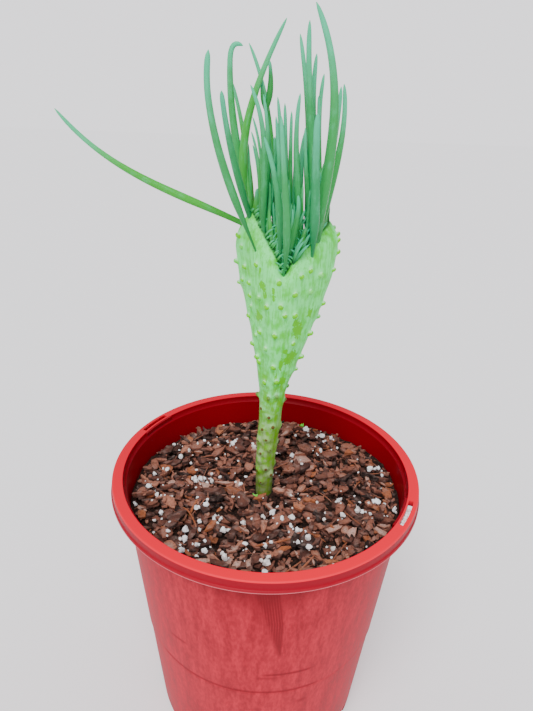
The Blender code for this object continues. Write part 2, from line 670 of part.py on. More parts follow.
def fringe_leaves(draw):
    """The tiny leaves that stand along the growing ridge."""
    made = []
    for number in range(FRINGE_COUNT):
        q = -0.93 + 1.86 * (number + draw.uniform(0.2, 0.8)) / FRINGE_COUNT
        foot = ridge(q) + np.array([0.0, 0.0, -2.5])
        way = np.array([draw.uniform(-3.0, 3.0), draw.uniform(-2.0, 5.0), draw.uniform(7.0, 12.0)])
        line = foot + np.outer((0.0, 0.6, 1.0), way)
        made.append(tube("fringe", line, np.array((0.9, 0.7, 0.0)), 4))
    return made


def stub(point, normal):
    """The short blunt peg that a shed leaf left, pointing out and a little up."""
    normal = np.array(normal)
    point = np.array(point) / MM
    way = normal + np.array([0.0, 0.0, 0.45])
    way /= np.linalg.norm(way)
    side = np.cross(way, (0.0, 0.0, 1.0))
    side /= np.linalg.norm(side)
    other = np.cross(side, way)
    angles = np.linspace(0.0, math.tau, 5, endpoint=False)
    rows = []
    for reach, radius in ((-1.8, STUB_ROOT_RADIUS), (STUB_LENGTH, STUB_END_RADIUS)):
        ring = np.outer(np.cos(angles), side) + np.outer(np.sin(angles), other)
        rows.append(point + way * reach + ring * radius)
    faces = [tuple(range(5)), tuple(range(5, 10))]
    faces += [(corner, (corner + 1) % 5, 5 + (corner + 1) % 5, 5 + corner) for corner in range(5)]
    obj = new_object("stub", np.vstack(rows), faces)
    face_outwards(obj)
    return obj


def stub_places(body):
    """Where the stubs stand: rays from outside find points and normals on the plant's skin."""
    tree = BVHTree.FromObject(body, bpy.context.evaluated_depsgraph_get())
    rays = [((x, -80.0, z), (0.0, 1.0, 0.0)) for x, z in FRONT_STUBS]
    rays += [((80.0 * side, y, z), (-side, 0.0, 0.0)) for side, y, z in EDGE_STUBS]
    found = []
    for start, way in rays:
        point, normal, *_ = tree.ray_cast(Vector(start) * MM, Vector(way))
        if point is not None:
            found.append((point, normal))
    draw = random.Random(5)
    wanted = len(found) + BACK_STUB_COUNT
    while len(found) < wanted:
        z = draw.uniform(MIX_LEVEL + 12.0, 356.0)
        out = Vector((draw.uniform(-1.0, 1.0), draw.uniform(0.05, 1.0), 0.0)).normalized()
        centre = Vector((float(axis_x(z)), 0.0, z)) * MM
        point, normal, *_ = tree.ray_cast(centre + out * 80.0 * MM, -out)
        if point is None:
            continue
        if min((point - other).length for other, _ in found) > BACK_STUB_SPACING * MM:
            found.append((point, normal))
    return found


def make_plant():
    """Stem and crest with every stub and leaf fused on."""
    plant = crest_body()
    bpy.context.view_layer.update()
    parts = [stub(point, normal) for point, normal in stub_places(plant)]
    for row in LEFT_LEAVES + CENTRE_LEAVES + RIGHT_LEAVES + SHORT_LEAVES:
        parts.append(leaf(*row))
    draw = random.Random(23)
    parts += inner_leaves(draw)
    parts += fringe_leaves(draw)
    combine(plant, parts, "UNION", "MANIFOLD")
    keep_main_shell(plant)
    dress(plant, material("senecio_green", (0.27, 0.55, 0.24), 0.5), 40)
    return plant


def main():
    for obj in list(bpy.data.objects):
        bpy.data.objects.remove(obj)
    make_pot()
    make_mix()
    make_plant()


main()
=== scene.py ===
# %% [markdown]
# # A crested senecio in a red nursery pot
#
# The real plant is a succulent whose growing point has turned into a growing line. Its stem
# flattens into a folded fan, and pencil-shaped leaves stand along the fold. It grows in bark mix,
# in a red plastic nursery pot.
#
# Three plain solids come in first: the pot, the potting mix and the plant. They settle every size
# and place, so they are loaded before anything is made, and each finer piece takes the place of one.

import json
import math
import random

import bmesh
import bpy
import numpy as np
from mathutils import Matrix, Vector
from mathutils.bvhtree import BVHTree

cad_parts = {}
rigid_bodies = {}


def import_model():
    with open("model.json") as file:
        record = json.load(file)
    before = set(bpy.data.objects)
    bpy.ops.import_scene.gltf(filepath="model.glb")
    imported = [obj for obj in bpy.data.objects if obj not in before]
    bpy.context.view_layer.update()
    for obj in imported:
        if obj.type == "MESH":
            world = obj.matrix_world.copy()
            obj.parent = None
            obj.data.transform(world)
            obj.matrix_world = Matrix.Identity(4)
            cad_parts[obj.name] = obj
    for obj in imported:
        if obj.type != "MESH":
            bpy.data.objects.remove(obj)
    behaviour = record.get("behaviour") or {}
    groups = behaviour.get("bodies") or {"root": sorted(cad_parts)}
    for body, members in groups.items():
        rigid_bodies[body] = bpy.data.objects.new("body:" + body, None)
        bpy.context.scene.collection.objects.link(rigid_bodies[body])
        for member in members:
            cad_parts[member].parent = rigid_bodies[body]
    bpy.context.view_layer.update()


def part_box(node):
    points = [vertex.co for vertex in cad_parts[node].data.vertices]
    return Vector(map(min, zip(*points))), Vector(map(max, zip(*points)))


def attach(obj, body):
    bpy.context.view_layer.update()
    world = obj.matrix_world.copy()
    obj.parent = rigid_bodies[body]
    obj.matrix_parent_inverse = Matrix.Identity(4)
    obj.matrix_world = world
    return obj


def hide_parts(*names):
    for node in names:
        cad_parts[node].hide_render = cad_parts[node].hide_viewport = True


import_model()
MM = 0.001
pot_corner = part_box("pot")[1]
POT_HEIGHT = round(pot_corner.z / MM, 1)
LIP_FLARE = 0.9
RIM_RADIUS = round(pot_corner.x / MM, 1) - LIP_FLARE
print("pot height and rim radius in mm:", POT_HEIGHT, RIM_RADIUS)

# %% [markdown]
# ## The camera
#
# The camera comes first, because every later choice is judged through it. It stands where the
# photographer stood: a little above the plant, looking down at about 25 degrees, with a slight
# roll. The lens follows from how fast the pot's round rim shrinks with distance.

# %% Camera
PICTURE_HEIGHT = 711
FOCUS_IN_PIXELS = 560.0
SENSOR = 36.0
CAMERA_PLACE = (-2.4, -308.2, 424.9)
CAMERA_PITCH = 25.15
CAMERA_ROLL = 2.1


def new_object(name, data):
    """Put an object with its data in the scene, at the world's origin."""
    obj = bpy.data.objects.new(name, data)
    bpy.context.scene.collection.objects.link(obj)
    return obj


camera = new_object("camera", bpy.data.cameras.new("camera"))
camera.data.sensor_width = SENSOR
camera.data.lens = FOCUS_IN_PIXELS / PICTURE_HEIGHT * SENSOR
camera.matrix_world = (
    Matrix.Translation(Vector(CAMERA_PLACE) * MM)
    @ Matrix.Rotation(math.radians(90.0 - CAMERA_PITCH), 4, "X")
    @ Matrix.Rotation(math.radians(CAMERA_ROLL), 4, "Z")
)
bpy.context.scene.camera = camera
print("lens in mm:", round(camera.data.lens, 2))

# %% [markdown]
# ## From arrays to pieces
#
# Every new piece is a surface worked out with numpy. Most are closed shapes of one kind: a first
# pole, rings of points, and a last pole. A turned pot, a leaf, a bark flake and a grain of perlite
# all fit it, so one function makes an object from any number of them.

# %% Helpers for shapes
UP = np.array([0.0, 0.0, 1.0])


def smoothstep(x):
    """Rise from 0 to 1 with no corner: 3 x squared less 2 x cubed."""
    x = np.clip(x, 0.0, 1.0)
    return x * x * (3.0 - 2.0 * x)


def bell(x):
    """Fall from 1 on both sides of 0: exp(-x squared)."""
    return np.exp(-(x**2))


def unit(vectors):
    """Vectors of length one."""
    return vectors / np.maximum(np.linalg.norm(vectors, axis=-1, keepdims=True), 1e-12)


def all_round(count):
    """Angles that divide a full turn evenly."""
    return np.linspace(0.0, math.tau, count, endpoint=False)


def about_axis(radius, height, angles):
    """Points about the upright axis: x = r cos a, y = r sin a, z = height."""
    radius, height, angles = np.broadcast_arrays(radius, height, angles)
    return np.stack([radius * np.cos(angles), radius * np.sin(angles), height], -1)


def through(points, t):
    """A smooth curve through points for t from 0 to 1: a Catmull-Rom spline."""
    knots = np.asarray(points, float)
    knots = np.vstack([2 * knots[0] - knots[1], knots, 2 * knots[-1] - knots[-2]])
    place = np.clip(np.asarray(t, float), 0.0, 1.0) * (len(points) - 1)
    first = np.minimum(place.astype(int), len(points) - 2)
    u = (place - first)[..., None]
    a, b, c, d = (knots[first + step] for step in range(4))
    return 0.5 * (2 * b + (c - a) * u + (2 * a - 5 * b + 4 * c - d) * u**2 + (3 * b - a - 3 * c + d) * u**3)


def make_object(name, points, faces):
    """One mesh object from points in millimetres, at the world's origin."""
    mesh = bpy.data.meshes.new(name)
    mesh.from_pydata((np.asarray(points).reshape(-1, 3) * MM).tolist(), [], faces)
    mesh.update()
    return new_object(name, mesh)


def ringed_faces(count, rings, sides):
    """Faces of count closed shapes, each a pole, rings of points turning left, and a last pole."""
    side = np.arange(sides)
    after = (side + 1) % sides
    ring = 1 + sides * np.arange(rings - 1)[:, None]
    quads = np.stack([ring + side, ring + after, ring + sides + after, ring + sides + side], -1)
    top = 1 + sides * (rings - 1)
    last = 1 + sides * rings
    first_fan = np.stack([np.zeros(sides, int), 1 + after, 1 + side], -1)
    last_fan = np.stack([np.full(sides, last), top + side, top + after], -1)
    offsets = (last + 1) * np.arange(count)[:, None, None]
    quads = (quads.reshape(1, -1, 4) + offsets).reshape(-1, 4)
    fans = (np.vstack([first_fan, last_fan])[None] + offsets).reshape(-1, 3)
    return quads.tolist() + fans.tolist()


def ringed_points(first, rings, last):
    """Points of such shapes in one array, from (n, 3), (n, rings, sides, 3) and (n, 3)."""
    return np.concatenate([first[:, None], rings.reshape(len(rings), -1, 3), last[:, None]], 1)


def round_object(name, rings, low, high):
    """A round piece from its rings, closed by a pole on the axis at each end, at two heights."""
    poles = np.array([[[0.0, 0.0, low]], [[0.0, 0.0, high]]])
    points = ringed_points(poles[0], rings[None], poles[1])
    return make_object(name, points, ringed_faces(1, *rings.shape[:2]))


def tubes(lines, radii, sides, flatness=1.0):
    """Round tubes along lines: a circle of the radius about each point, square to the line.

    lines is (n, steps, 3) and radii (n, steps). The circle's second axis is scaled by flatness.
    """
    forward = unit(np.gradient(lines, axis=1))
    side = unit(np.cross(forward, (0.0, 1.0, 0.0)))
    other = np.cross(forward, side) * flatness
    angles = all_round(sides)[:, None]
    circle = side[:, :, None] * np.cos(angles) + other[:, :, None] * np.sin(angles)
    rings = lines[:, :, None] + circle * radii[:, :, None, None]
    return ringed_points(lines[:, 0], rings, lines[:, -1])


def places_of(obj):
    """The points of a mesh in millimetres."""
    points = np.empty(len(obj.data.vertices) * 3)
    obj.data.vertices.foreach_get("co", points)
    return points.reshape(-1, 3) / MM


def paint(obj, **attributes):
    """Keep numbers for each point in named attributes, which a material can read. growth is a vector."""
    for name, values in attributes.items():
        kind, field = ("FLOAT_VECTOR", "vector") if name == "growth" else ("FLOAT", "value")
        made = obj.data.attributes.new(name, kind, "POINT")
        made.data.foreach_set(field, np.ascontiguousarray(values, dtype=np.float32).ravel())


def dress(obj, material, sharp_degrees):
    """Smooth shading but for sharp corners, a finish, and the body that the piece rides on."""
    obj.data.shade_smooth()
    obj.data.set_sharp_from_angle(angle=math.radians(sharp_degrees))
    obj.data.materials.clear()
    obj.data.materials.append(material)
    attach(obj, "root")
    print(obj.name, "triangles:", sum(len(face.vertices) - 2 for face in obj.data.polygons))


# %% [markdown]
# ## Helpers for finishes
#
# A finish is a tree of shader nodes. What a node puts out is wrapped in a small class here, so that
# sums on it are written as plain sums and each adds its node. Three effects come back in several
# finishes: blotches, upright streaks such as dried water or the plant's wax, and fine grain. Each
# is a node group with named inputs, built once and placed with its own numbers.

# %% Helpers for shader nodes
class Value:
    """What a shader node puts out. Each sum on it adds a Math node."""

    def __init__(self, socket):
        self.socket = socket
        self.tree = socket.id_data

    def do(self, operation, other=0.0):
        """One sum on this value and another."""
        return add(self.tree, "ShaderNodeMath", {0: self, 1: other}, operation=operation)

    def __add__(self, other):
        return self.do("ADD", other)

    def __sub__(self, other):
        return self.do("SUBTRACT", other)

    def __rsub__(self, other):
        return add(self.tree, "ShaderNodeMath", {0: other, 1: self}, operation="SUBTRACT")

    def __mul__(self, other):
        return self.do("MULTIPLY", other)

    def within(self):
        """The same sum, kept between 0 and 1."""
        self.socket.node.use_clamp = True
        return self

    def stretch(self, low, high, to_low=0.0, to_high=1.0):
        """Stretch so that low becomes to_low and high becomes to_high, and cut off the rest."""
        ends = {"From Min": low, "From Max": high, "To Min": to_low, "To Max": to_high}
        return add(self.tree, "ShaderNodeMapRange", {"Value": self, **ends})

    def mix(self, first, second):
        """Blend two colours by this share from 0 to 1."""
        return add(self.tree, "ShaderNodeMix", {0: self, 6: first, 7: second}, 2, data_type="RGBA")


def link(value, socket):
    """Give a socket a fixed value, or link it to what another node puts out."""
    if isinstance(value, Value):
        value.tree.links.new(value.socket, socket)
    else:
        socket.default_value = value


def add(tree, kind, inputs=None, output=0, **settings):
    """Add a node, set its options, fill its inputs, and return one of its outputs."""
    made = tree.nodes.new(kind)
    for option, value in settings.items():
        setattr(made, option, value)
    for key, value in (inputs or {}).items():
        link(value, made.inputs[key])
    return Value(made.outputs[output])


def read(tree, name, output="Fac"):
    """Read a painted attribute."""
    return add(tree, "ShaderNodeAttribute", output=output, attribute_name=name)


def srgb(red, green, blue):
    """A colour given as it looks on a screen, from 0 to 255, as the linear colour that shaders use."""
    share = np.array([red, green, blue]) / 255.0
    linear = np.where(share <= 0.04045, share / 12.92, ((share + 0.055) / 1.055) ** 2.4)
    return (*linear.tolist(), 1.0)


def layer(color, tree, *layers):
    """Lay colours over a color, each where its painted attribute is high, by up to its share."""
    for name, share, tone in layers:
        mask = read(tree, name)
        color = (mask if share == 1.0 else mask * share).mix(color, srgb(*tone))
    return color


def new_finish(name, **constants):
    """A material, its tree and the inputs of its Principled shader, with its constants set."""
    material = bpy.data.materials.new(name)
    material.use_nodes = True
    shader = material.node_tree.nodes["Principled BSDF"].inputs
    for socket, value in constants.items():
        shader[socket.replace("_", " ")].default_value = value
    return material, material.node_tree, shader


def cover(shader, color, height, strength, distance_mm):
    """Give a shader its color, and raise the surface by a height map, up to a distance."""
    link(color, shader["Base Color"])
    raised = {"Strength": strength, "Distance": distance_mm * MM, "Height": height}
    link(add(height.tree, "ShaderNodeBump", raised), shader["Normal"])


# %% Three shared effects
def new_group(name, output, **numbers):
    """Start a node group with a vector and named numbers as inputs. Returns it and its ends."""
    group = bpy.data.node_groups.new(name, "ShaderNodeTree")
    group.interface.new_socket("Vector", in_out="INPUT", socket_type="NodeSocketVector")
    for socket, value in numbers.items():
        made = group.interface.new_socket(socket, in_out="INPUT", socket_type="NodeSocketFloat")
        made.default_value = value
    group.interface.new_socket(output, in_out="OUTPUT", socket_type="NodeSocketFloat")
    start = group.nodes.new("NodeGroupInput").outputs
    inputs = {socket: Value(start[socket]) for socket in ("Vector", *numbers)}
    return group, inputs, group.nodes.new("NodeGroupOutput").inputs[output]


def use(group, place, **numbers):
    """Place a group in the tree of a vector, with its own numbers."""
    return add(place.tree, "ShaderNodeGroup", {"Vector": place, **numbers}, node_tree=group)


def noise(tree, place, scale, **inputs):
    """Soft random values that change with the place."""
    return add(tree, "ShaderNodeTexNoise", {"Vector": place, "Scale": scale, **inputs})


def blotches_group():
    """Blotches: noise of a given size, cut between a low and a high value."""
    group, start, end = new_group("blotches", "Mask", Scale=100.0, Detail=4.0, Low=0.4, High=0.6)
    spots = noise(group, start["Vector"], start["Scale"], Detail=start["Detail"])
    link(spots.stretch(start["Low"], start["High"]), end)
    return group


def streaks_group():
    """Upright streaks: noise that is squeezed along Z, so that its blotches grow long there."""
    group, start, end = new_group("upright_streaks", "Mask", Across=400.0, Along=30.0, Low=0.4, High=0.65)
    across = start["Across"]
    scale = add(group, "ShaderNodeCombineXYZ", {"X": across, "Y": across, "Z": start["Along"]})
    place = add(group, "ShaderNodeVectorMath", {0: start["Vector"], 1: scale}, operation="MULTIPLY")
    link(noise(group, place, 1.0, Detail=3.0).stretch(start["Low"], start["High"]), end)
    return group


def grain_group():
    """Fine grain: coarse noise plus a share of noise five times finer."""
    group, start, end = new_group("fine_grain", "Height", Scale=900.0, Fine=0.5)
    coarse = noise(group, start["Vector"], start["Scale"])
    fine = noise(group, start["Vector"], start["Scale"] * 5.0)
    link(coarse + fine * start["Fine"], end)
    return group


blotches = blotches_group()
streaks = streaks_group()
grain = grain_group()
print("shared effects:", [group.name for group in bpy.data.node_groups])

# %% [markdown]
# ## The red plastic
#
# Nursery pots are moulded from soft, slightly translucent plastic with a satin skin. This one has
# been watered many times: a thin pale haze of dried water lies on its body in upright streaks, with
# one wedge under the lip where it was wiped off. The rim is cleaner, and its red is painted brighter
# with painted light: lightest in front, darker towards the back. The haze depends on the place, so it
# is painted on the points by a formula, and noise breaks it up.

# %% Finish of the pot
HAZE_SHARE = 0.8
# The wiped wedge: its top and bottom, and x of its two sides at the top and at the tip
WIPED_TOP = 190.0 * MM
WIPED_BOTTOM = 122.0 * MM
WIPED_LEFT = (-5.5 * MM, 11.6 * MM)
WIPED_RIGHT = (8.8 * MM, 12.6 * MM)
FAINT_PART = 10.0 * MM
COMB_WAVES = 4200.0
COMB_BOTTOM = 136.0 * MM
COMB_FULL = 156.0 * MM


def wiped_wedge(place):
    """The wedge's mask: between a slanted left side and a right side that is upright lower down.

    A fainter wedge lies to its left. Comb lines run along the right side in the upper part: a sine
    of the distance from that side.
    """
    x, y, z = (add(place.tree, "ShaderNodeSeparateXYZ", {0: place}, axis) for axis in range(3))
    down = z.stretch(WIPED_TOP, WIPED_BOTTOM)
    from_left = x - down.stretch(0.0, 1.0, *WIPED_LEFT)
    from_faint = from_left - down.stretch(0.0, 0.8, -FAINT_PART, 0.0)
    right = down.stretch(0.0, 0.5, *WIPED_RIGHT)
    inside = from_left.stretch(-1.0 * MM, 2.0 * MM) * 0.7 + from_faint.stretch(-2.0 * MM, 2.0 * MM) * 0.3
    inside = inside * (right - x).stretch(-0.6 * MM, 0.6 * MM)
    inside = inside * z.stretch(WIPED_BOTTOM, WIPED_BOTTOM + 6.0 * MM) * y.do("LESS_THAN", 0.0)
    waves = ((x - right) * COMB_WAVES).do("SINE").stretch(0.1, 1.0)
    return inside * (0.92 - waves * z.stretch(COMB_BOTTOM, COMB_FULL) * 0.46)


def red_plastic():
    """Satin red plastic with a haze of dried water where the attribute haze is high."""
    material, tree, shader = new_finish("red_plastic", Specular_IOR_Level=0.1)
    place = add(tree, "ShaderNodeTexCoord", output="Object")
    haze = read(tree, "haze") * (1.0 - wiped_wedge(place))
    runs = use(streaks, place, Across=190.0, Along=30.0, Low=0.36, High=0.62)
    spots = use(streaks, place, Across=620.0, Along=240.0, Low=0.4, High=0.6)
    pale = haze * (runs * 0.42 + spots * 0.32 + 0.3)
    # The attribute rim blends the body's red to the rim's brighter red, which carries painted light.
    color = read(tree, "rim").mix(srgb(126, 0, 18), srgb(240, 4, 46))
    color = layer(color, tree, ("lip", 1.0, (150, 0, 30)))
    color = (pale * HAZE_SHARE).mix(color, srgb(206, 46, 64))
    # worn lays a painted highlight on the lip's lowest edge, and a little wear and highlight on the rim's
    # corner.
    color = layer(color, tree, ("scuff", 0.8, (110, 0, 14)), ("worn", 1.0, (252, 140, 150)))
    link(pale.stretch(0.0, 1.0, 0.4, 0.6), shader["Roughness"])
    cover(shader, color, use(grain, place, Scale=700.0, Fine=0.6), 0.25, 0.12)
    return material


pot_finish = red_plastic()

# %% [markdown]
# ## The pot
#
# A pot like this is round, so it is one profile spun about the upright axis. The profile is drawn
# once in radius and height, from the middle of the underside, up the outside, over the rim and down
# to the middle of the floor. Corners are arcs, so that light catches them as it does on moulded
# plastic. Slots are then cut out with a Boolean, which is easier than weaving them into the grid.

# %% Profile of the pot
SHEET = 1.8
RIM_INNER_RADIUS = RIM_RADIUS - 7.0
LIP_BOTTOM = POT_HEIGHT - 7.6
HEEL_RADIUS = 75.0
BODY_TAPER = 0.0885
NESTING_RING_HEIGHT = 88.0
NESTING_STEP = 0.5
FLOOR_TOP = 2.0
POT_SIDES = 240


def body_radius(z):
    """Outside radius of the tapered body in millimetres, which steps out at the nesting ring."""
    return HEEL_RADIUS + BODY_TAPER * z + np.where(z > NESTING_RING_HEIGHT, NESTING_STEP, 0.0)


def arc(radius, height, bend, start, end, steps=5):
    """Points of an arc about a centre in the section, from one angle to another in degrees."""
    angles = np.radians(np.linspace(start, end, steps + 1))
    return np.column_stack([radius + bend * np.cos(angles), height + bend * np.sin(angles)])


def wall(low, high, step, inset):
    """Points up or down the body's wall, less the inset, every few millimetres."""
    heights = np.linspace(low, high, max(2, int(abs(high - low) / step)))
    return np.column_stack([body_radius(heights) - inset, heights])


def pot_profile():
    """The section: underside, heel, body, nesting ring, rim with its hanging lip, inside, floor."""
    ring = NESTING_RING_HEIGHT
    return np.vstack([
        np.column_stack([np.linspace(2.0, HEEL_RADIUS - 3.4, 14), np.zeros(14)]),
        arc(HEEL_RADIUS - 3.2, 3.2, 3.2, -80, 0),
        wall(5.0, ring - 0.6, 2.6, 0.0),
        [(body_radius(ring) - 0.1, ring), (body_radius(ring) + NESTING_STEP + 0.1, ring + 0.5)],
        wall(ring + 1.4, 188.0, 1.6, 0.0),
        [(RIM_INNER_RADIUS - 0.2, 196.0)],
        arc(RIM_INNER_RADIUS + 1.2, 197.0, 1.2, 170, 90, 3),
        [(RIM_RADIUS - 2.6, 198.2)],
        arc(RIM_RADIUS - 2.6, 197.2, 1.0, 60, 0, 2),
        [(RIM_RADIUS - 1.5, LIP_BOTTOM + 0.2)],
        arc(RIM_RADIUS + LIP_FLARE - 0.45, LIP_BOTTOM + 0.45, 0.45, -90, 40, 4),
        arc(RIM_RADIUS + 0.9, LIP_BOTTOM + 2.5, 0.9, 250, 180, 3),
        [(RIM_RADIUS - 0.05, LIP_BOTTOM + 3.4), (RIM_RADIUS, LIP_BOTTOM + 4.6)],
        arc(RIM_RADIUS - 1.0, POT_HEIGHT - 1.0, 1.0, 0, 90, 6),
        [(RIM_RADIUS - 3.5, POT_HEIGHT - 0.04), (RIM_INNER_RADIUS + 2.0, POT_HEIGHT)],
        arc(RIM_INNER_RADIUS + 0.8, POT_HEIGHT - 0.8, 0.8, 90, 180),
        [(RIM_INNER_RADIUS - 0.3, 197.4), (RIM_INNER_RADIUS - 1.8, 195.6)],
        wall(187.6, 5.0, 4.0, SHEET),
        arc(HEEL_RADIUS - 5.0, FLOOR_TOP + 3.0, 3.0, -10, -90),
        [(40.0, FLOOR_TOP), (4.0, FLOOR_TOP)],
    ])


# %% Slots, bars and drainage holes
SLOT_ANGLES = (-27.0, 151.0)
SLOT_RADIUS = 95.8
SLOT_HALF_WIDTH = 1.4
SLOT_HALF_ANGLE = 7.2
BAR_INNER_RADIUS = 91.9
BAR_DEPTH = 2.6
PAD_HALF_WIDTH = 2.4
PAD_DEPTH = 3.9
DRAIN_ANGLES = 10.0 + 45.0 * np.arange(8)
DRAIN_HALF_ANGLE = math.degrees(8.0 / HEEL_RADIUS)
DRAIN_INNER_RADIUS = 58.0
DRAIN_TOP = 10.0


def ring_sector(inner, outer, bottom, top, middle, half, steps=12):
    """A solid piece of a ring between two radii, two heights and two angles in degrees."""
    angles = np.radians(np.linspace(middle - half, middle + half, steps + 1))[:, None]
    corner = np.arange(4)
    after = (corner + 1) % 4
    here = 4 * np.arange(steps)[:, None]
    sides = np.stack([here + corner, here + 4 + corner, here + 4 + after, here + after], -1)
    ends = [[0, 1, 2, 3], [4 * steps + 3, 4 * steps + 2, 4 * steps + 1, 4 * steps]]
    points = about_axis([inner, outer, outer, inner], [bottom, bottom, top, top], angles)
    obj = make_object("sector", points, sides.reshape(-1, 4).tolist() + ends)
    mesh = bmesh.new()
    mesh.from_mesh(obj.data)
    bmesh.ops.recalc_face_normals(mesh, faces=mesh.faces)
    mesh.to_mesh(obj.data)
    mesh.free()
    return obj


def combine(target, operation, *rows):
    """Fuse ring sectors to a piece or cut them from it, with one Boolean that is applied at once.

    Each row has the angles at which a sector stands, half its own angle, two radii and two heights.
    """
    group = bpy.data.collections.new(operation)
    bpy.context.scene.collection.children.link(group)
    for angles, half, *sizes in rows:
        for angle in angles:
            part = ring_sector(*sizes, angle, half)
            bpy.context.scene.collection.objects.unlink(part)
            group.objects.link(part)
    step = target.modifiers.new("combine", "BOOLEAN")
    step.operation = operation
    step.solver = "EXACT"
    step.operand_type = "COLLECTION"
    step.collection = group
    bpy.context.view_layer.objects.active = target
    bpy.ops.object.modifier_apply(modifier=step.name)
    for part in list(group.objects):
        bpy.data.objects.remove(part)
    bpy.data.collections.remove(group)


# %% Make the pot
# Thin dark scuff lines: the height of each, and its first and last angle
SCUFFS = ((89, -140, -62), (107.6, -90, -66), (103.6, -93, -80), (117, -132, -120), (74, -74, -66))


def haze_at(x, y, z):
    """How hazy the plastic is: 1 on the outside of the body, less in a band under the lip.

    The band is deepest in front, and is partly clean plastic and partly a painted shadow of the
    lip. Towards the foot the haze thins a little.
    """
    outside = (np.hypot(x, y) > body_radius(z) - 0.7) & (z > 3.0) & (z < LIP_BOTTOM + 2.0)
    # How far down the band under the lip reaches: less haze there, partly as a painted shadow of the lip.
    deep = 15.0 + 24.0 * bell((x - 2.0) / 26.0) * (y < 0)
    low = 1.0 - 0.16 * smoothstep((70.0 - z) / 60.0)
    return outside * low * (1.0 - 0.85 * (1.0 - smoothstep((LIP_BOTTOM - z) / deep)))


def scuff_at(x, y, z):
    """Scuff lines: a bell over the height of each, faded out at the ends of its span of angles."""
    angle = np.degrees(np.arctan2(y, x))
    scuff = np.zeros_like(z)
    for height, first, last in SCUFFS:
        span = smoothstep((angle - first) / 4.0) * smoothstep((last - angle) / 4.0)
        scuff = np.maximum(scuff, span * bell((z - height) / 0.8))
    return scuff


def highlight_and_wear_at(radius, z):
    """Painted highlight on the lip's lowest edge, and a little wear and highlight on the rim's outer corner.
    """
    low_edge = bell((z - LIP_BOTTOM - 0.3) / 0.25) * (radius > RIM_RADIUS + 0.5)
    return low_edge + 0.05 * bell((z - POT_HEIGHT + 0.4) / 0.35) * (radius > RIM_RADIUS - 0.9)


def make_pot():
    """The turned pot with its rim bars, hanger slots and drainage holes, painted with its haze."""
    profile = pot_profile()
    rings = about_axis(profile[:, :1], profile[:, 1:], all_round(POT_SIDES))
    pot = round_object("nursery_pot", rings, profile[0, 1], profile[-1, 1])
    top = POT_HEIGHT
    bar = (BAR_INNER_RADIUS, RIM_INNER_RADIUS + 0.5, top - BAR_DEPTH, top - 0.3)
    pad = (SLOT_RADIUS - PAD_HALF_WIDTH, SLOT_RADIUS + PAD_HALF_WIDTH, top - PAD_DEPTH, top - 1.0)
    slot = (SLOT_RADIUS - SLOT_HALF_WIDTH, SLOT_RADIUS + SLOT_HALF_WIDTH, top - 5.0, top + 2.0)
    drain = (DRAIN_INNER_RADIUS, HEEL_RADIUS + 6.0, -2.0, DRAIN_TOP)
    half = SLOT_HALF_ANGLE
    combine(pot, "UNION", (SLOT_ANGLES, half + 1.5, *bar), (SLOT_ANGLES, half + 0.8, *pad))
    combine(pot, "DIFFERENCE", (SLOT_ANGLES, half, *slot), (DRAIN_ANGLES, DRAIN_HALF_ANGLE, *drain))
    x, y, z = places_of(pot).T
    radius = np.hypot(x, y)
    rim = (z > LIP_BOTTOM + 5.0) & (radius > RIM_INNER_RADIUS + 0.2)
    # Painted light on the rim: lightest in front and a little to the right, darker at the back and left. The
    # inside wall gets a touch of the rim's red, also as painted light.
    painted_rim_light = 0.84 - 0.16 * y / RIM_RADIUS + 0.06 * x / RIM_RADIUS
    # worn holds the painted edge highlight, with a little wear on the rim's corner.
    paint(pot, haze=haze_at(x, y, z), scuff=scuff_at(x, y, z), worn=highlight_and_wear_at(radius, z),
          rim=np.where(rim, painted_rim_light, 0.06 * (radius < body_radius(z) - 1.0)),
          lip=(z < top - 0.9) & (z > LIP_BOTTOM - 0.5) & (radius > RIM_RADIUS - 0.5))
    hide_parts("pot")
    dress(pot, pot_finish, 32.0)


make_pot()

# %% [markdown]
# ## The potting mix
#
# The pot is filled with composted pine bark and perlite. From a step away one sees flakes of bark,
# each a thin chip with broken corners, lying every way and partly over each other, with near-black
# gaps between them. A bed is made first, a plain filled cone with a crumbly top, coloured dark brown
# to nearly black, partly the mix's own colour and partly painted shade for those gaps. Then flakes,
# grains and twigs are laid on it one after another. A height map, a grid of squares, remembers how
# high the pile stands at each place, so that every new piece rests on what already lies there.

# %% Finishes of the mix
BARK_TONES = (
    (0.0, (24, 13, 11)), (0.3, (84, 48, 39)), (0.62, (138, 84, 67)), (0.85, (172, 112, 90)),
    (1.0, (192, 158, 146)),
)


def bark_finish():
    """Bark: dark to light brown by tone, orange where fresh, with fine grain and dusty blotches."""
    material, tree, shader = new_finish("bark", Roughness=0.85, Specular_IOR_Level=0.3)
    place = add(tree, "ShaderNodeTexCoord", output="Object")
    tones = add(tree, "ShaderNodeValToRGB", {"Fac": read(tree, "tone")})
    elements = tones.socket.node.color_ramp.elements
    elements.remove(elements[1])
    for number, (at, color) in enumerate(BARK_TONES):
        element = elements.new(at) if number else elements[0]
        element.position = at
        element.color = srgb(*color)
    color = layer(tones, tree, ("fresh", 1.0, (168, 94, 56)))
    grey = use(blotches, place, Scale=260.0, Detail=6.0, Low=0.48, High=0.7)
    color = (grey * 0.32).mix(color, srgb(166, 140, 132))
    dark = use(blotches, place, Scale=900.0, Detail=4.0, Low=0.5, High=0.7)
    color = (dark * 0.5).mix(color, srgb(44, 24, 18))
    cover(shader, color, use(grain, place, Scale=620.0, Fine=0.7), 0.9, 0.7)
    return material


def bed_finish():
    """The fine crumbs under the flakes, dark brown and in blotches nearly black, partly painted shade."""
    material, tree, shader = new_finish("fine_mix", Roughness=0.95, Specular_IOR_Level=0.2)
    place = add(tree, "ShaderNodeTexCoord", output="Object")
    spots = use(blotches, place, Scale=700.0, Detail=6.0, Low=0.35, High=0.7)
    color = spots.mix(srgb(20, 12, 10), srgb(70, 46, 37))
    cover(shader, color, use(grain, place, Scale=500.0, Fine=0.7), 1.0, 1.2)
    return material


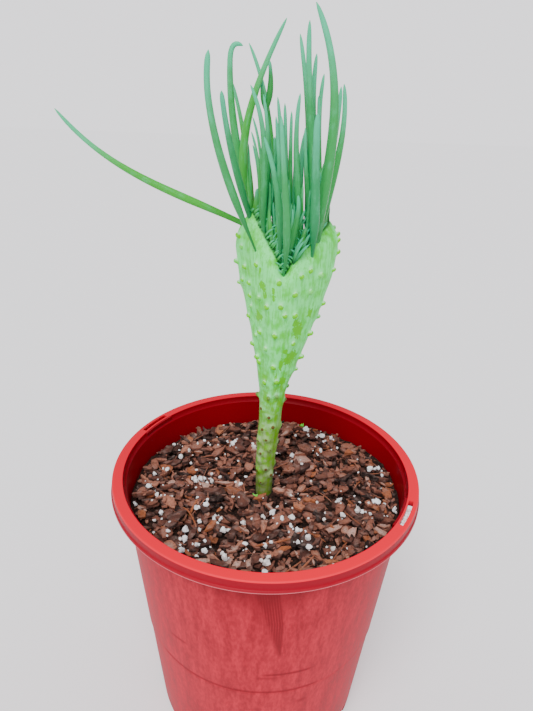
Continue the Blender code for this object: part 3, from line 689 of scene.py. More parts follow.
def perlite_finish():
    """Perlite, a puffed volcanic glass: chalk white, rough, with a few grey pores."""
    material, tree, shader = new_finish("perlite", Roughness=0.8)
    place = add(tree, "ShaderNodeTexCoord", output="Object")
    pores = use(blotches, place, Scale=1400.0, Detail=3.0, Low=0.52, High=0.7)
    color = read(tree, "tone").mix(srgb(250, 250, 253), srgb(232, 220, 214))
    color = (pores * 0.3).mix(color, srgb(190, 186, 190))
    cover(shader, color, use(grain, place, Scale=1500.0, Fine=0.5), 0.8, 0.4)
    return material


bark = bark_finish()
bed = bed_finish()
white = perlite_finish()

# %% The bed of mix
MIX_LEVEL = 180.4
SEAT_GAP = 0.3
STEM_FOOT_X = -0.9
BED_SIDES = 180
BED_TOP_RINGS = 60
BED_DROP = 2.8


def mix_height(x, y):
    """The mix's surface: level, a little higher to the right, with low lumps made of sine waves."""
    rise = 5.0 * smoothstep((x - 45.0) / 50.0) + 1.5 * smoothstep((-x - 60.0) / 30.0)
    lumps = 0.9 * np.sin(x / 9.0 + 1.3) * np.cos(y / 7.5 - 0.4) + 0.6 * np.sin((x + 1.7 * y) / 5.5)
    return MIX_LEVEL + rise + lumps


def make_bed():
    """The filled cone of mix: rings out along the floor, up the wall, and in over the crumbly top."""
    draw = np.random.default_rng(3)
    angles = all_round(BED_SIDES)
    heights = np.array([FLOOR_TOP + SEAT_GAP, 6.0, NESTING_RING_HEIGHT - 1.5, NESTING_RING_HEIGHT + 1.5])
    radii = body_radius(heights) - SHEET - SEAT_GAP
    radii[0] = HEEL_RADIUS - 5.0
    top_radius = body_radius(185.0) - SHEET - SEAT_GAP - 0.4
    inwards = np.linspace(top_radius, 1.5, BED_TOP_RINGS)[:, None]
    crumbs = draw.normal(0.0, 0.45, (BED_TOP_RINGS, BED_SIDES)) * np.minimum(1.0, inwards / 20.0)
    top = about_axis(inwards, 0.0, angles)
    top[..., 2] = mix_height(top[..., 0], top[..., 1]) - BED_DROP + crumbs
    rings = np.concatenate([about_axis(radii[:, None], heights[:, None], angles), top])
    obj = round_object("mix_bed", rings, heights[0], float(mix_height(0.0, 0.0)) - BED_DROP)
    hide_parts("potting_mix")
    dress(obj, bed, 60.0)


make_bed()

# %% The pile's height map
MAP_HALF = 92
PILE_WALL = float(body_radius(MIX_LEVEL)) - SHEET - 0.8
STEM_BASE_RADIUS = 5.9
TOP_SHARE = 0.8
map_axis = np.arange(-MAP_HALF, MAP_HALF + 1.0)
map_x, map_y = np.meshgrid(map_axis, map_axis, indexing="ij")
pile = mix_height(map_x, map_y) - BED_DROP
print("squares of the height map:", pile.size)


def lay(x, y, reach, thickness, sink):
    """Lay a piece on the pile and raise the map under it. Returns the height of the piece's middle."""
    window = tuple(slice(int(at - reach) + MAP_HALF, int(at + reach) + MAP_HALF + 2) for at in (x, y))
    patch = pile[window]
    near = np.hypot(map_x[window] - x, map_y[window] - y) < reach
    if not near.any():
        return float(patch.mean())
    middle = float(np.quantile(patch[near], 0.6)) + thickness * (0.5 - sink)
    patch[near] = np.maximum(patch[near], middle + thickness * 0.5 * TOP_SHARE)
    return middle


def anywhere(draw, reach):
    """A random place on the mix that keeps a piece off the pot's wall and the stem."""
    while True:
        radius = (PILE_WALL - reach) * math.sqrt(draw.random())
        angle = draw.uniform(0.0, math.tau)
        x, y = radius * math.cos(angle), radius * math.sin(angle)
        if math.hypot(x - STEM_FOOT_X, y) > STEM_BASE_RADIUS + reach * 0.55:
            return x, y


# %% Bark flakes
FLAKE_CORNERS = 5
FLAKE_SIDES = 2 * FLAKE_CORNERS
# Sizes of flakes in the order in which they are laid: how many, shortest, longest, steepest tilt
FLAKE_LAYERS = (
    (800, 2.5, 5.5, 50), (620, 5, 9.5, 42), (300, 8.5, 12.5, 32), (420, 3, 7, 42), (300, 7.5, 12, 24),
    (130, 11, 17, 16), (300, 2, 5, 40),
)
# Painted shading of a flake: what its tone gains from its lower pole over its two rings to its upper pole,
# darker at the underside and edge and lighter in the top's middle, like a domed shading
FLAKE_PAINTED_SHADING = np.repeat([-0.3, -0.3, -0.1, 0.06], [1, FLAKE_SIDES, FLAKE_SIDES, 1])
FRESH_SHARE = 0.055


def turn_matrices(turn, tip, way):
    """Turn about Z, then tip about a level axis that points in the given way: Rodrigues' formula."""
    spin, cross = np.zeros((2, len(turn), 3, 3))
    spin[:, 0, 0] = spin[:, 1, 1] = np.cos(turn)
    spin[:, 1, 0] = np.sin(turn)
    spin[:, 0, 1] = -spin[:, 1, 0]
    spin[:, 2, 2] = 1.0
    cross[:, 0, 2] = np.sin(way)
    cross[:, 2, 1] = np.cos(way)
    cross -= np.swapaxes(cross, 1, 2)
    tip = tip[:, None, None]
    return (np.eye(3) + np.sin(tip) * cross + (1.0 - np.cos(tip)) * (cross @ cross)) @ spin


def flakes_at_origin(draw, length, width, thickness):
    """Flat flakes with broken corners, lying along X.

    A flake's outline has five corners at uneven angles and distances, and between each two a point
    that is pushed a little in or out. A ring at the underside and a wider one at the top carry it,
    and the whole is cupped along its length: z grows with the square of x.
    """
    count = len(length)
    shape = (count, FLAKE_CORNERS)
    angles = all_round(FLAKE_CORNERS) + draw.uniform(-0.34, 0.34, shape)
    corners = about_axis(draw.uniform(0.72, 1.08, shape), 0.0, angles)[..., :2]
    between = (corners + np.roll(corners, -1, axis=1)) / 2 * draw.uniform(0.9, 1.16, shape)[..., None]
    outline = np.stack([corners, between], 2).reshape(count, FLAKE_SIDES, 2)
    outline = outline * np.stack([length, width], -1)[:, None] / 2
    half = thickness[:, None] / 2
    ragged = draw.uniform(-0.4, 0.4, (2, count, FLAKE_SIDES)) * half
    rings = np.stack([
        np.concatenate([outline * 0.88, (ragged[0] - half)[..., None]], -1),
        np.concatenate([outline, (ragged[1] + half)[..., None]], -1),
    ], 1)
    pole = thickness[:, None] / 2 * UP
    points = ringed_points(-pole, rings, pole)
    points[..., 2] += draw.uniform(-0.1, 0.22, (count, 1)) * points[..., 0] ** 2 / length[:, None]
    return points


def make_flakes():
    """All bark flakes in one piece, each laid on the pile by its own size, turn and tilt."""
    draw = np.random.default_rng(21)
    places = random.Random(8)
    batches, tones, freshness = [], [], []
    for count, shortest, longest, steepest in FLAKE_LAYERS:
        length = draw.uniform(shortest, longest, count)
        width = length * draw.uniform(0.24, 0.74, count)
        thickness = np.clip(length * draw.uniform(0.1, 0.24, count), 0.7, 2.6)
        points = flakes_at_origin(draw, length, width, thickness)
        tip = np.radians(steepest) * draw.random(count) ** 1.5
        turns = turn_matrices(draw.uniform(0.0, math.tau, count), tip, draw.uniform(0.0, math.tau, count))
        middles = np.empty((count, 1, 3))
        for number in range(count):
            x, y = anywhere(places, length[number] * 0.42)
            reach = 0.25 * (length[number] + width[number])
            middles[number] = x, y, lay(x, y, reach, thickness[number], 0.15)
        batches.append(points @ np.swapaxes(turns, 1, 2) + middles)
        tones.append(np.clip(draw.normal(0.5, 0.26, count), 0.02, 1.0))
        freshness.append((draw.random(count) < FRESH_SHARE) * draw.uniform(0.4, 1.0, count))
    points = np.concatenate(batches)
    radius = np.hypot(points[..., 0], points[..., 1])
    points[..., :2] *= np.minimum(1.0, (PILE_WALL + 0.3) / np.maximum(radius, 1.0))[..., None]
    obj = make_object("bark_flakes", points, ringed_faces(len(points), 2, FLAKE_SIDES))
    # tone is each flake's own tone plus the painted shading across it.
    paint(obj, tone=np.clip(np.concatenate(tones)[:, None] + FLAKE_PAINTED_SHADING, 0.0, 1.0),
          fresh=np.repeat(np.concatenate(freshness), points.shape[1]))
    dress(obj, bark, 30.0)


make_flakes()

# %% Perlite
# The larger grains that catch the eye, by their place on the mix, chosen from the picture
BIG_GRAINS = (
    (-77, 8), (-78, -8), (-84, -22), (-70, -19), (-65, -33), (-48, -46), (-47, -54), (-48, -61),
    (-39, -59), (-34, -64), (-22, -69), (-25, -45), (-22, -42), (-11, -52), (-13, -36), (-57, 37),
    (-63, 35), (-69, 43), (-47, 49), (-9, 40), (-25, 43), (-54, 24), (-69, 11), (-44, 6), (-47, 0),
    (-37, 6), (-17, 0), (-40, -40), (-37, -28), (-31, -32), (-43, -31), (-57, -52), (49, -14),
    (60, -23), (63, -24), (72, -20), (80, 20), (74, 19), (50, 58), (43, 60), (31, 65), (41, 43),
    (19, 33), (-1, -29), (5, -30), (11, -35), (17, -35), (21, -39), (20, -43), (37, -36), (49, -32),
    (26, -53), (20, -56), (1, -56), (41, -57), (26, -62), (3, -65), (2, -68), (1, -76), (85, -23),
)
# Grains that lie in the right slot: the angle and the size of each
SLOT_GRAINS = ((-31.6, 3.0), (-30.2, 2.0), (-28.8, 2.4), (-27.6, 2.6), (-26.3, 2.0), (-24.6, 2.8))
SMALL_GRAINS_EACH = 3
LOOSE_GRAINS = 110
GRAIN_SIDES = 7
GRAIN_RINGS = 5


def grains_at_origin(draw, size):
    """Uneven lumps: a sphere by rings of latitude whose points are pushed in and out at random."""
    latitude = np.radians(np.linspace(-70.0, 70.0, GRAIN_RINGS))[:, None]
    push = draw.uniform(0.6, 1.25, (len(size), GRAIN_RINGS, GRAIN_SIDES, 1))
    squash = draw.uniform(0.6, 1.1, (len(size), 3))
    rings = about_axis(np.cos(latitude), np.sin(latitude), all_round(GRAIN_SIDES)) * push
    pole = np.tile([0.0, 0.0, 0.95], (len(size), 1))
    return ringed_points(-pole, rings, pole) * (squash * size[:, None] / 2)[:, None, :]


def make_grains():
    """Perlite: the listed grains, smaller ones beside them, loose ones, and a few in the right slot."""
    draw = np.random.default_rng(5)
    places = random.Random(4)
    rows = []
    for x, y in BIG_GRAINS:
        rows.append((x, y, places.uniform(3.0, 5.5)))
        for _ in range(places.randrange(SMALL_GRAINS_EACH + 1)):
            angle = places.uniform(0.0, math.tau)
            reach = places.uniform(2.5, 6.0)
            rows.append((x + reach * math.cos(angle), y + reach * math.sin(angle), places.uniform(1.3, 2.8)))
    for _ in range(LOOSE_GRAINS):
        rows.append((*anywhere(places, 2.0), places.uniform(0.9, 2.4)))
    grains = []
    for x, y, size in rows:
        inside = min(1.0, (PILE_WALL - size * 0.6) / math.hypot(x, y))
        x, y = x * inside, y * inside
        grains.append((x, y, lay(x, y, max(1.2, size / 2), size * 0.8, 0.1), size))
    for turn, size in SLOT_GRAINS:
        grains.append((*about_axis(SLOT_RADIUS, POT_HEIGHT - 1.4, math.radians(turn)), size))
    grains = np.array(grains)
    turns = turn_matrices(*(draw.uniform(0.0, math.tau, len(grains)) for _ in range(3)))
    points = grains_at_origin(draw, grains[:, 3]) @ np.swapaxes(turns, 1, 2) + grains[:, None, :3]
    obj = make_object("perlite_grains", points, ringed_faces(len(grains), GRAIN_RINGS, GRAIN_SIDES))
    paint(obj, tone=np.repeat(draw.random(len(grains)) ** 2, points.shape[1]))
    dress(obj, white, 35.0)


make_grains()

# %% Twigs and splinters
# Sticks that show in the picture: points along each, its thickness, and how orange it is
STICKS = (
    (((-43.5, -20), (-46, -25), (-48, -30)), 1.9, 0.9),
    (((-52, -27), (-48, -30), (-43.5, -38), (-40, -47)), 1.5, 0.9),
    (((4, -80), (15, -73), (27.6, -63.7)), 1.2, 0.55),
    (((17.3, -79), (23, -73), (29, -66.5)), 1.7, 0.5), (((36, -71.5), (43, -61), (51, -50)), 1.1, 0.6),
    (((-5, -57), (7, -54), (18, -50)), 1.6, 0.8), (((60, -4), (63, 3), (66, 8)), 1.4, 0.8),
    (((24, -44), (32, -44.5), (38, -47)), 1, 0.8), (((-40, 17), (-30, 18), (-18, 16.5)), 0.9, 0.2),
    (((3, 17), (10, 21), (17, 25)), 1.2, 0.3),
)
SPLINTER_COUNT = 60
STICK_STEPS = 9
STICK_SIDES = 6


def make_sticks():
    """Sticks as thin tubes along smooth curves on the pile, and short straight splinters."""
    draw = np.random.default_rng(12)
    places = random.Random(6)
    t = np.linspace(0.0, 1.0, STICK_STEPS)
    s = 2.0 * t[:, None] - 1.0
    sticks = [(through(points, t), thickness, orange) for points, thickness, orange in STICKS]
    for _ in range(SPLINTER_COUNT):
        middle = anywhere(places, 6.0)
        angle = places.uniform(0.0, math.tau)
        way = np.array([math.cos(angle), math.sin(angle)]) * places.uniform(2.5, 7.0)
        bend = np.array([-way[1], way[0]]) * places.uniform(-0.15, 0.15)
        line = middle + way * s + bend * (1.0 - s * s)
        sticks.append((line, places.uniform(0.5, 1.0), places.uniform(0.0, 0.5)))
    routes = []
    for flat, thickness, _ in sticks:
        i, j = np.clip(np.rint(flat).astype(int) + MAP_HALF, 0, 2 * MAP_HALF).T
        height = np.polyval(np.polyfit(t, pile[i, j], 1), t) + 0.5 + thickness * 0.2
        routes.append(np.column_stack([flat, height]))
    thick, fresh = (np.array([stick[part] for stick in sticks]) for part in (1, 2))
    taper = np.clip(np.minimum(t, 1.0 - t) / 0.12, 0.35, 1.0)
    radii = thick[:, None] / 2 * taper * draw.uniform(0.8, 1.15, (len(sticks), STICK_STEPS))
    points = tubes(np.array(routes), radii, STICK_SIDES, 0.7)
    obj = make_object("twigs", points, ringed_faces(len(sticks), STICK_STEPS, STICK_SIDES))
    each = points.shape[1]
    paint(obj, tone=np.repeat(draw.uniform(0.4, 0.85, len(sticks)), each), fresh=np.repeat(fresh, each))
    dress(obj, bark, 40.0)


make_sticks()

# %% [markdown]
# ## The plant's skin
#
# The stem and its crest are one surface. A function of two parameters gives it: the angle round the
# section, and the level from the buried foot to the growing ridge. Low down the section is a circle.
# Higher up its middle line stretches into the folded ridge, a curve through chosen points, and the
# circle becomes a thin rounded band about that line. The plain solid uses the same formula with few
# points, so the fine surface fits it everywhere. Then small things are added along the skin's
# normal: faint ribs, a cushion under each stub, a hollow below the right ridge.

# %% Skin of the stem and crest
STEM_FOOT_LEVEL = 118.0
STEM_FOOT_RADIUS = 5.6
STEM_STRAIGHT_TOP = 186.0
STEM_GROWTH = 0.03
FAN_START = 232.0
STEM_TOP_X = 5.6
STEM_LEAN_END = 320.0
RIDGE = (
    (-17.2, 16, 350), (-15.4, 11, 359), (-11.6, 6.5, 364.5), (-8, 2, 359), (-2.5, -3.5, 350),
    (1.5, -7.2, 344), (5, -8, 334), (9.5, -7, 341), (14.5, -4, 347), (21, 0, 354), (26.8, 5, 358),
    (29.2, 11.5, 360), (27.4, 18, 362), (21.6, 22.5, 365.5),
)
WIDEST_SPREAD = 1.08
WIDEST_LEVEL = 0.93
FLARE = 1.1
DRAW_IN_LEVEL = 0.88
FRONT_HALF_THICKNESS = 6.0
BACK_HALF_THICKNESS = 4.0
RIDGE_ROUNDING = 0.07
RUN_STEP = 0.04


def ridge(q):
    """The growing ridge at q, from -1 at the left arm's end to 1 at the right back end."""
    return through(RIDGE, (np.asarray(q, float) + 1.0) / 2.0)


def axis_x(z):
    """The stem's centre line, which drifts to the right as it rises."""
    rise = (z - STEM_STRAIGHT_TOP) / (STEM_LEAN_END - STEM_STRAIGHT_TOP)
    return STEM_FOOT_X + (STEM_TOP_X - STEM_FOOT_X) * smoothstep(rise)


def skin(angle, level):
    """Points of the skin for arrays of angle and level.

    angle runs round the section: 0 is the fan's right end, a quarter turn its front. level is -1 at
    the buried foot, 0 where the fan starts and 1 on the ridge. The section's middle line moves from
    the stem's axis out to the ridge as the fan flares. The surface is that line, plus a thickness
    along its normal and a round end along its run, and both close to nothing on the ridge.
    """
    angle, level = np.broadcast_arrays(np.asarray(angle, float), np.asarray(level, float))
    fan = np.clip(level, 0.0, 1.0)
    along, across = np.cos(angle), np.sin(angle)
    top = ridge(along)
    run = ridge(np.clip(along + RUN_STEP, -1, 1)) - ridge(np.clip(along - RUN_STEP, -1, 1))
    local = smoothstep((fan - 0.15) / 0.5)[..., None]
    flat = unit(unit(run[..., :2]) * local + np.array([1.0, 0.0]) * (1.0 - local))
    normal = np.stack([flat[..., 1], -flat[..., 0]], -1)
    height = FAN_START + fan * (top[..., 2] - FAN_START)
    height = np.where(level < 0.0, FAN_START + level * (FAN_START - STEM_FOOT_LEVEL), height)
    drawn_in = (WIDEST_SPREAD - 1.0) * smoothstep((fan - DRAW_IN_LEVEL) / (1.0 - DRAW_IN_LEVEL))
    spread = WIDEST_SPREAD * smoothstep((fan / WIDEST_LEVEL) ** FLARE) - drawn_in
    grown = np.clip(height, STEM_STRAIGHT_TOP, FAN_START) - STEM_STRAIGHT_TOP
    radius = STEM_FOOT_RADIUS + STEM_GROWTH * grown
    wide = smoothstep(fan / 0.6)
    thickness = np.where(across > 0.0, FRONT_HALF_THICKNESS, BACK_HALF_THICKNESS)
    thickness = radius * (1.0 - wide) + thickness * wide
    end = radius * (1.0 - wide) + (FRONT_HALF_THICKNESS + BACK_HALF_THICKNESS) / 2 * wide
    closing = np.sqrt(1.0 - np.clip((fan - 1.0 + RIDGE_ROUNDING) / RIDGE_ROUNDING, 0.0, 1.0) ** 2)
    bulge = np.sign(across) * np.abs(across) ** (1.0 - 0.4 * wide) * thickness * closing
    ends = along * end * closing
    x = axis_x(height) + spread * (top[..., 0] - STEM_TOP_X) + normal[..., 0] * bulge + flat[..., 0] * ends
    y = spread * top[..., 1] + normal[..., 1] * bulge + flat[..., 1] * ends
    return np.stack([x, y, height], -1)


# %% Places of the stubs
# The stubs that the picture shows: on the front by x and z, and on the outline by side, y and z
FRONT_STUBS = (
    (-9.5, 338), (-13, 325.5), (3, 330.5), (15, 334), (20, 336.5), (26, 333), (12, 324), (20.5, 324),
    (-7.5, 319), (-3, 315.5), (4.5, 317), (7, 311.5), (12.5, 311), (-6.5, 297), (2, 298.5),
    (12.5, 292.5), (-2.5, 288), (-6.5, 276.5), (2, 277), (-2.5, 264.5), (4, 267), (0, 254.5),
    (4.5, 256), (-6, 247.5), (-4, 245.5), (0.5, 240.5), (-3, 231), (3, 233.5), (-0.5, 224), (-5, 221.5),
    (1.5, 216.5), (-3.5, 212.5),
)
EDGE_STUBS = (
    (-1, 8, 351), (-1, 6, 345), (-1, 4, 334), (-1, 2, 317.5), (-1, 2, 311), (-1, 0, 293.5),
    (-1, 0, 279), (1, 9, 353), (1, 8, 350), (1, 8, 343.5), (1, 4, 334), (1, 3, 314), (1, 0, 296),
    (1, 0, 280.5), (1, 0, 272),
)
# Scars low on the stem that the plain solid leaves out
LOW_STUBS = (
    (-2.9, 189.5), (-0.3, 200.5), (-5.2, 198), (2.9, 195), (-4.4, 206.5),
)
BACK_STUB_COUNT = 36
BACK_STUB_SPACING = 8.0
FAR_OUT = 80.0
SKIN_SIDES = 256
SKIN_RINGS = 215


def skin_object(name, points):
    """The skin's grid as a closed piece whose last rings meet along the ridge."""
    count = 1 + len(points) * SKIN_SIDES
    first = points[0].mean(0)[None]
    faces = [face for face in ringed_faces(1, len(points), SKIN_SIDES) if max(face) < count]
    obj = make_object(name, ringed_points(first, points[None], first)[:, :-1], faces)
    mesh = bmesh.new()
    mesh.from_mesh(obj.data)
    bmesh.ops.remove_doubles(mesh, verts=mesh.verts, dist=0.002 * MM)
    mesh.to_mesh(obj.data)
    mesh.free()
    return obj


def stub_places(tree):
    """Points and normals of the stubs, found on the skin by rays from outside."""
    found = []

    def hit(start, way):
        """The point and normal where a ray meets the skin, if it does."""
        point, normal, *_ = tree.ray_cast(Vector(start) * MM, Vector(way))
        return [] if point is None else [(point, normal)]

    for x, z in FRONT_STUBS:
        found += hit((x, -FAR_OUT, z), (0.0, 1.0, 0.0))
    for side, y, z in EDGE_STUBS:
        found += hit((FAR_OUT * side, y, z), (-side, 0.0, 0.0))
    draw = random.Random(5)
    wanted = len(found) + BACK_STUB_COUNT
    while len(found) < wanted:
        z = draw.uniform(MIX_LEVEL + 12.0, 356.0)
        out = Vector((draw.uniform(-1.0, 1.0), draw.uniform(0.05, 1.0), 0.0)).normalized()
        met = hit(Vector((float(axis_x(z)), 0.0, z)) + out * FAR_OUT, -out)
        if met and min((met[0][0] - other).length for other, _ in found) > BACK_STUB_SPACING * MM:
            found += met
    for x, z in LOW_STUBS:
        found += hit((x, -FAR_OUT, z), (0.0, 1.0, 0.0))
    points, normals = (np.array([tuple(row[part]) for row in found]) for part in (0, 1))
    return points / MM, normals


# Levels of the skin's rings: few in the soil, even up the fan, and closer over the rounded ridge
levels = np.concatenate([
    np.linspace(-1.0, -0.5, 4), np.linspace(-0.48, 1.0 - RIDGE_ROUNDING, SKIN_RINGS),
    1.0 - RIDGE_ROUNDING + RIDGE_ROUNDING * np.sin(np.linspace(0.0, math.pi / 2, 22))[1:],
])
around = all_round(SKIN_SIDES)
plain_skin = skin(around[None, :], levels[:, None])
measured = skin_object("measured_skin", plain_skin[:, ::-1])
bpy.context.view_layer.update()
stub_points, stub_normals = stub_places(BVHTree.FromObject(measured, bpy.context.evaluated_depsgraph_get()))
bpy.data.objects.remove(measured)
print("stubs:", len(stub_points))

# %% [markdown]
# ## The plant's finish
#
# The skin of such a succulent is a soft satin green under a thin whitish wax, which lies in upright
# streaks because the skin stretched as it grew. Where it was rubbed the wax is gone and a brighter
# yellow-green shows. Stem, stubs and leaves share one recipe with different colours, so one function
# builds it. The streaks read a painted vector that follows the growth: two numbers round the piece
# and one along it, all in millimetres.

# %% Finishes of the plant
# Colours laid over the skin by attribute. white is the thickest wax and also a painted highlight; shade is
# painted shade.
END_COLORS = (
    ("foot", 1.0, (60, 190, 80)), ("shade", 1.0, (12, 52, 14)), ("tip", 1.0, (64, 200, 158)),
    ("white", 1.0, (214, 255, 226)), ("rust", 1.0, (98, 56, 38)),
)


def plant_skin(name, colors, wax_share, streak_share, blotch_share, roughness, specular):
    """Waxy green skin. Its colors: low and high by the attribute tint, the wax, and rubbed skin.

    Wax lies in streaks and blotches. The attribute halo adds wax and painted light: a painted highlight
    above each stub on the crest, and painted shade on the long leaves' lower halves. rubbed takes the
    wax off. The attribute patchy brings yellow-green blotches, shade darkens, tip and rust color the
    ends, foot fades into the crest's color, white is the thickest wax and a painted highlight, and dull
    greys the wax. Rubbed patches have streaky edges, because wax lines stay longest.
    """
    low, high, wax, bare = (srgb(*color) for color in colors)
    material, tree, shader = new_finish(name, Specular_IOR_Level=specular, Subsurface_Weight=0.05,
                                        Subsurface_Scale=0.004)
    growth = read(tree, "growth", "Vector")
    patches = use(blotches, growth, Scale=0.3, Detail=3.0, Low=0.42, High=0.6)
    patches = (patches * read(tree, "patchy")).within()
    color = patches.mix(read(tree, "tint").mix(low, high), srgb(106, 176, 0))
    lines = use(streaks, growth, Across=0.7, Along=0.08, Low=0.42, High=0.6) * 0.64
    lines = lines + use(streaks, growth, Across=2.6, Along=0.3, Low=0.42, High=0.66) * 0.36
    wide = use(blotches, growth, Scale=0.14, Detail=4.0, Low=0.36, High=0.62)
    lying = lines * (wide * 0.9 + 0.5) * streak_share + wide * blotch_share + read(tree, "halo")
    ragged = use(blotches, growth, Scale=0.5, Detail=5.0, Low=0.36, High=0.64)
    rubbed = (read(tree, "rubbed") - (ragged * 0.42 + lines * 0.22)).stretch(0.08, 0.24)
    kept = (lying * (1.0 - rubbed.do("MAXIMUM", patches * 0.8))).within()
    color = (kept * wax_share).mix(color, read(tree, "dull").mix(wax, srgb(150, 186, 120)))
    color = layer(rubbed.mix(color, bare), tree, *END_COLORS)
    link(kept.stretch(0.0, 1.0, roughness - 0.1, roughness + 0.1), shader["Roughness"])
    cover(shader, color, use(grain, growth, Scale=1.1, Fine=0.4), 0.3, 0.4)
    return material


crest_skin = plant_skin("crest_skin", ((108, 138, 30), (66, 210, 6), (112, 252, 140), (92, 200, 0)),
                        0.92, 0.95, 0.5, 0.45, 0.12)
leaf_skin = plant_skin("leaf_skin", ((42, 154, 92), (72, 178, 44), (98, 228, 178), (86, 200, 0)),
                       0.56, 0.36, 0.14, 0.34, 0.14)
# The stubs' bare yellow-green is brighter than the crest's, partly as painted light shining through the
# pegs.
stub_skin = plant_skin("stub_skin", ((90, 216, 60), (96, 216, 10), (170, 252, 190), (110, 214, 0)),
                       0.5, 0.3, 0.3, 0.4, 0.06)

# %% Make the skin
# Rubbed patches on the front, by place across and up, and half their width and height
RUBBED = (
    (-6.9, 328, 1, 3), (-5.2, 326, 1, 3.4), (-4.3, 322, 0.8, 2.2), (0, 325.5, 1, 2.8),
    (0.7, 322, 0.8, 2.4), (-7.6, 307, 2.2, 3.6), (15.2, 301, 3.4, 5), (13.7, 306, 1.6, 2.6),
    (8.3, 288, 1.4, 2.2), (12.6, 284, 3.2, 3.4), (10.4, 281, 3.4, 3.4), (6.2, 278, 1.2, 4.4),
    (3.8, 269, 1, 3.2), (7.9, 267, 2.4, 3.6), (-3, 267.6, 1.6, 2.8), (21.7, 311, 1.3, 3.8),
    (-14.6, 344.7, 0.8, 2.2), (-7.6, 335.2, 0.8, 2.2), (6, 246, 0.9, 2), (-2, 255, 0.8, 1.6),
)
TROUGH = ((10.8, -7.0, 340.9), (18.8, -7.0, 346.3))
CREASE = ((5.4, -9.0, 329.0), (5.2, -9.0, 318.0))
CUSHION_RADIUS = 2.4


def away_from_line(points, start, end):
    """Distance of points from the straight piece between two points."""
    start, end = np.array(start), np.array(end)
    way = end - start
    share = np.clip((points - start) @ way / (way @ way), 0.0, 1.0)
    return np.linalg.norm(points - start - share[..., None] * way, axis=-1)


def away_from_nearest(points, places):
    """Distance of points from the nearest of some places."""
    nearest = np.full(points.shape[:-1], np.inf)
    for place in places:
        nearest = np.minimum(nearest, np.linalg.norm(points - place, axis=-1))
    return nearest


def near_stubs(points):
    """How close points are to a stub: 1 at its foot, falling as a bell of the distance."""
    return bell(away_from_nearest(points, stub_points) / CUSHION_RADIUS)


def skin_relief(points, angle):
    """Height to add along the normal in mm: ribs, slow waves, stub cushions, trough and crease.

    Ribs are waves in the angle that wander as they rise. A cushion is a round swelling, and the
    trough and the crease are grooves whose depth falls as a bell of the distance.
    """
    z = points[..., 2]
    wander = 0.5 * np.sin(z / 17.0) + 0.3 * np.sin(z / 7.3 + 1.0)
    ribs = 0.09 * np.sin(19.0 * angle + 3.0 * wander) + 0.06 * np.sin(31.0 * angle - 4.0 * wander)
    waves = 0.3 * np.sin(z / 5.1 + 3.0 * angle) * np.sin(z / 8.7 - 2.0 * angle)
    cushions = (0.75 + 0.6 * smoothstep((245.0 - z) / 30.0)) * near_stubs(points)
    trough = 1.1 * bell(away_from_line(points, *TROUGH) / 2.0)
    crease = 0.7 * bell(away_from_line(points, *CREASE) / 1.8)
    return ribs * smoothstep((z - 255.0) / 60.0) + waves + cushions - trough - crease


def make_skin():
    """The fine skin with its relief, faded out at the ridge and below the mix, and its paint."""
    angle, level = np.broadcast_arrays(around[None, :], levels[:, None])
    round_way = np.roll(plain_skin, -1, axis=1) - np.roll(plain_skin, 1, axis=1)
    normals = unit(np.cross(np.gradient(plain_skin, axis=0), round_way))
    fade = smoothstep((1.0 - level) / 0.03) * smoothstep((level + 0.45) / 0.1)
    points = plain_skin + normals * (skin_relief(plain_skin, angle) * fade)[..., None]
    obj = skin_object("crest_and_stem", points[:, ::-1])
    places = places_of(obj)
    x, y, z = places.T
    patches = [bell(np.hypot((x - at_x) / wide, (z - at_z) / high)) for at_x, at_z, wide, high in RUBBED]
    trunk = smoothstep((300.0 - z) / 60.0)
    under_stub = near_stubs(places + 2.6 * UP)
    above_stub_highlight = near_stubs(places - 1.4 * UP)
    thin_wax = 0.2 * smoothstep((290.0 - z) / 50.0) * smoothstep((z - 196.0) / 24.0)
    at_ridge = smoothstep(1.5 - away_from_nearest(places, ridge(np.linspace(-0.96, 0.96, 80))) / 1.7)
    shade = 0.3 * bell(away_from_line(places, *TROUGH) / 2.4) + 0.8 * at_ridge
    paint(obj, rubbed=np.max(patches, 0) * smoothstep(0.5 - y / 4.0), tint=smoothstep((z - 200.0) / 90.0),
          patchy=np.clip(0.25 + (0.65 + 0.7 * under_stub) * trunk, 0.0, 1.0),
          # Above each stub the skin gets more wax and white, as a painted highlight.
          dull=smoothstep((268.0 - z) / 44.0), halo=0.7 * above_stub_highlight + 0.08 - thin_wax * (1.0 - above_stub_highlight),
          white=0.6 * above_stub_highlight**5 * smoothstep((z - 235.0) / 30.0),
          shade=np.clip(shade + 0.32 * smoothstep((204.0 - z) / 24.0), 0.0, 0.9),
          rust=0.3 * smoothstep((200.0 - z) / 14.0), growth=np.column_stack([x - axis_x(z), -y, z]))
    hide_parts("crested_stem")
    dress(obj, crest_skin, 60.0)


make_skin()

# %% [markdown]
# ## Stubs
#
# Each leaf that fell off left a short blunt peg on a small cushion. They stand all over the stem and
# crest and point a little upwards. All of them are one shape: a tube whose radius shrinks to a
# rounded end. The pegs' places are the plain solid's, found by rays shot at the skin from outside.
# Each peg's upper side is painted white as a painted highlight.

# %% Make the stubs
STUB_REACH = np.array([-1.8, -0.4, 0.7, 1.45, 1.85, 2.1, 2.3])
STUB_RADII = np.array([2.0, 1.7, 1.38, 1.28, 1.02, 0.8, 0.4])
STUB_TIP = 2.55
STUB_SIDES = 9
WORN_STUBS_TOP = 250.0


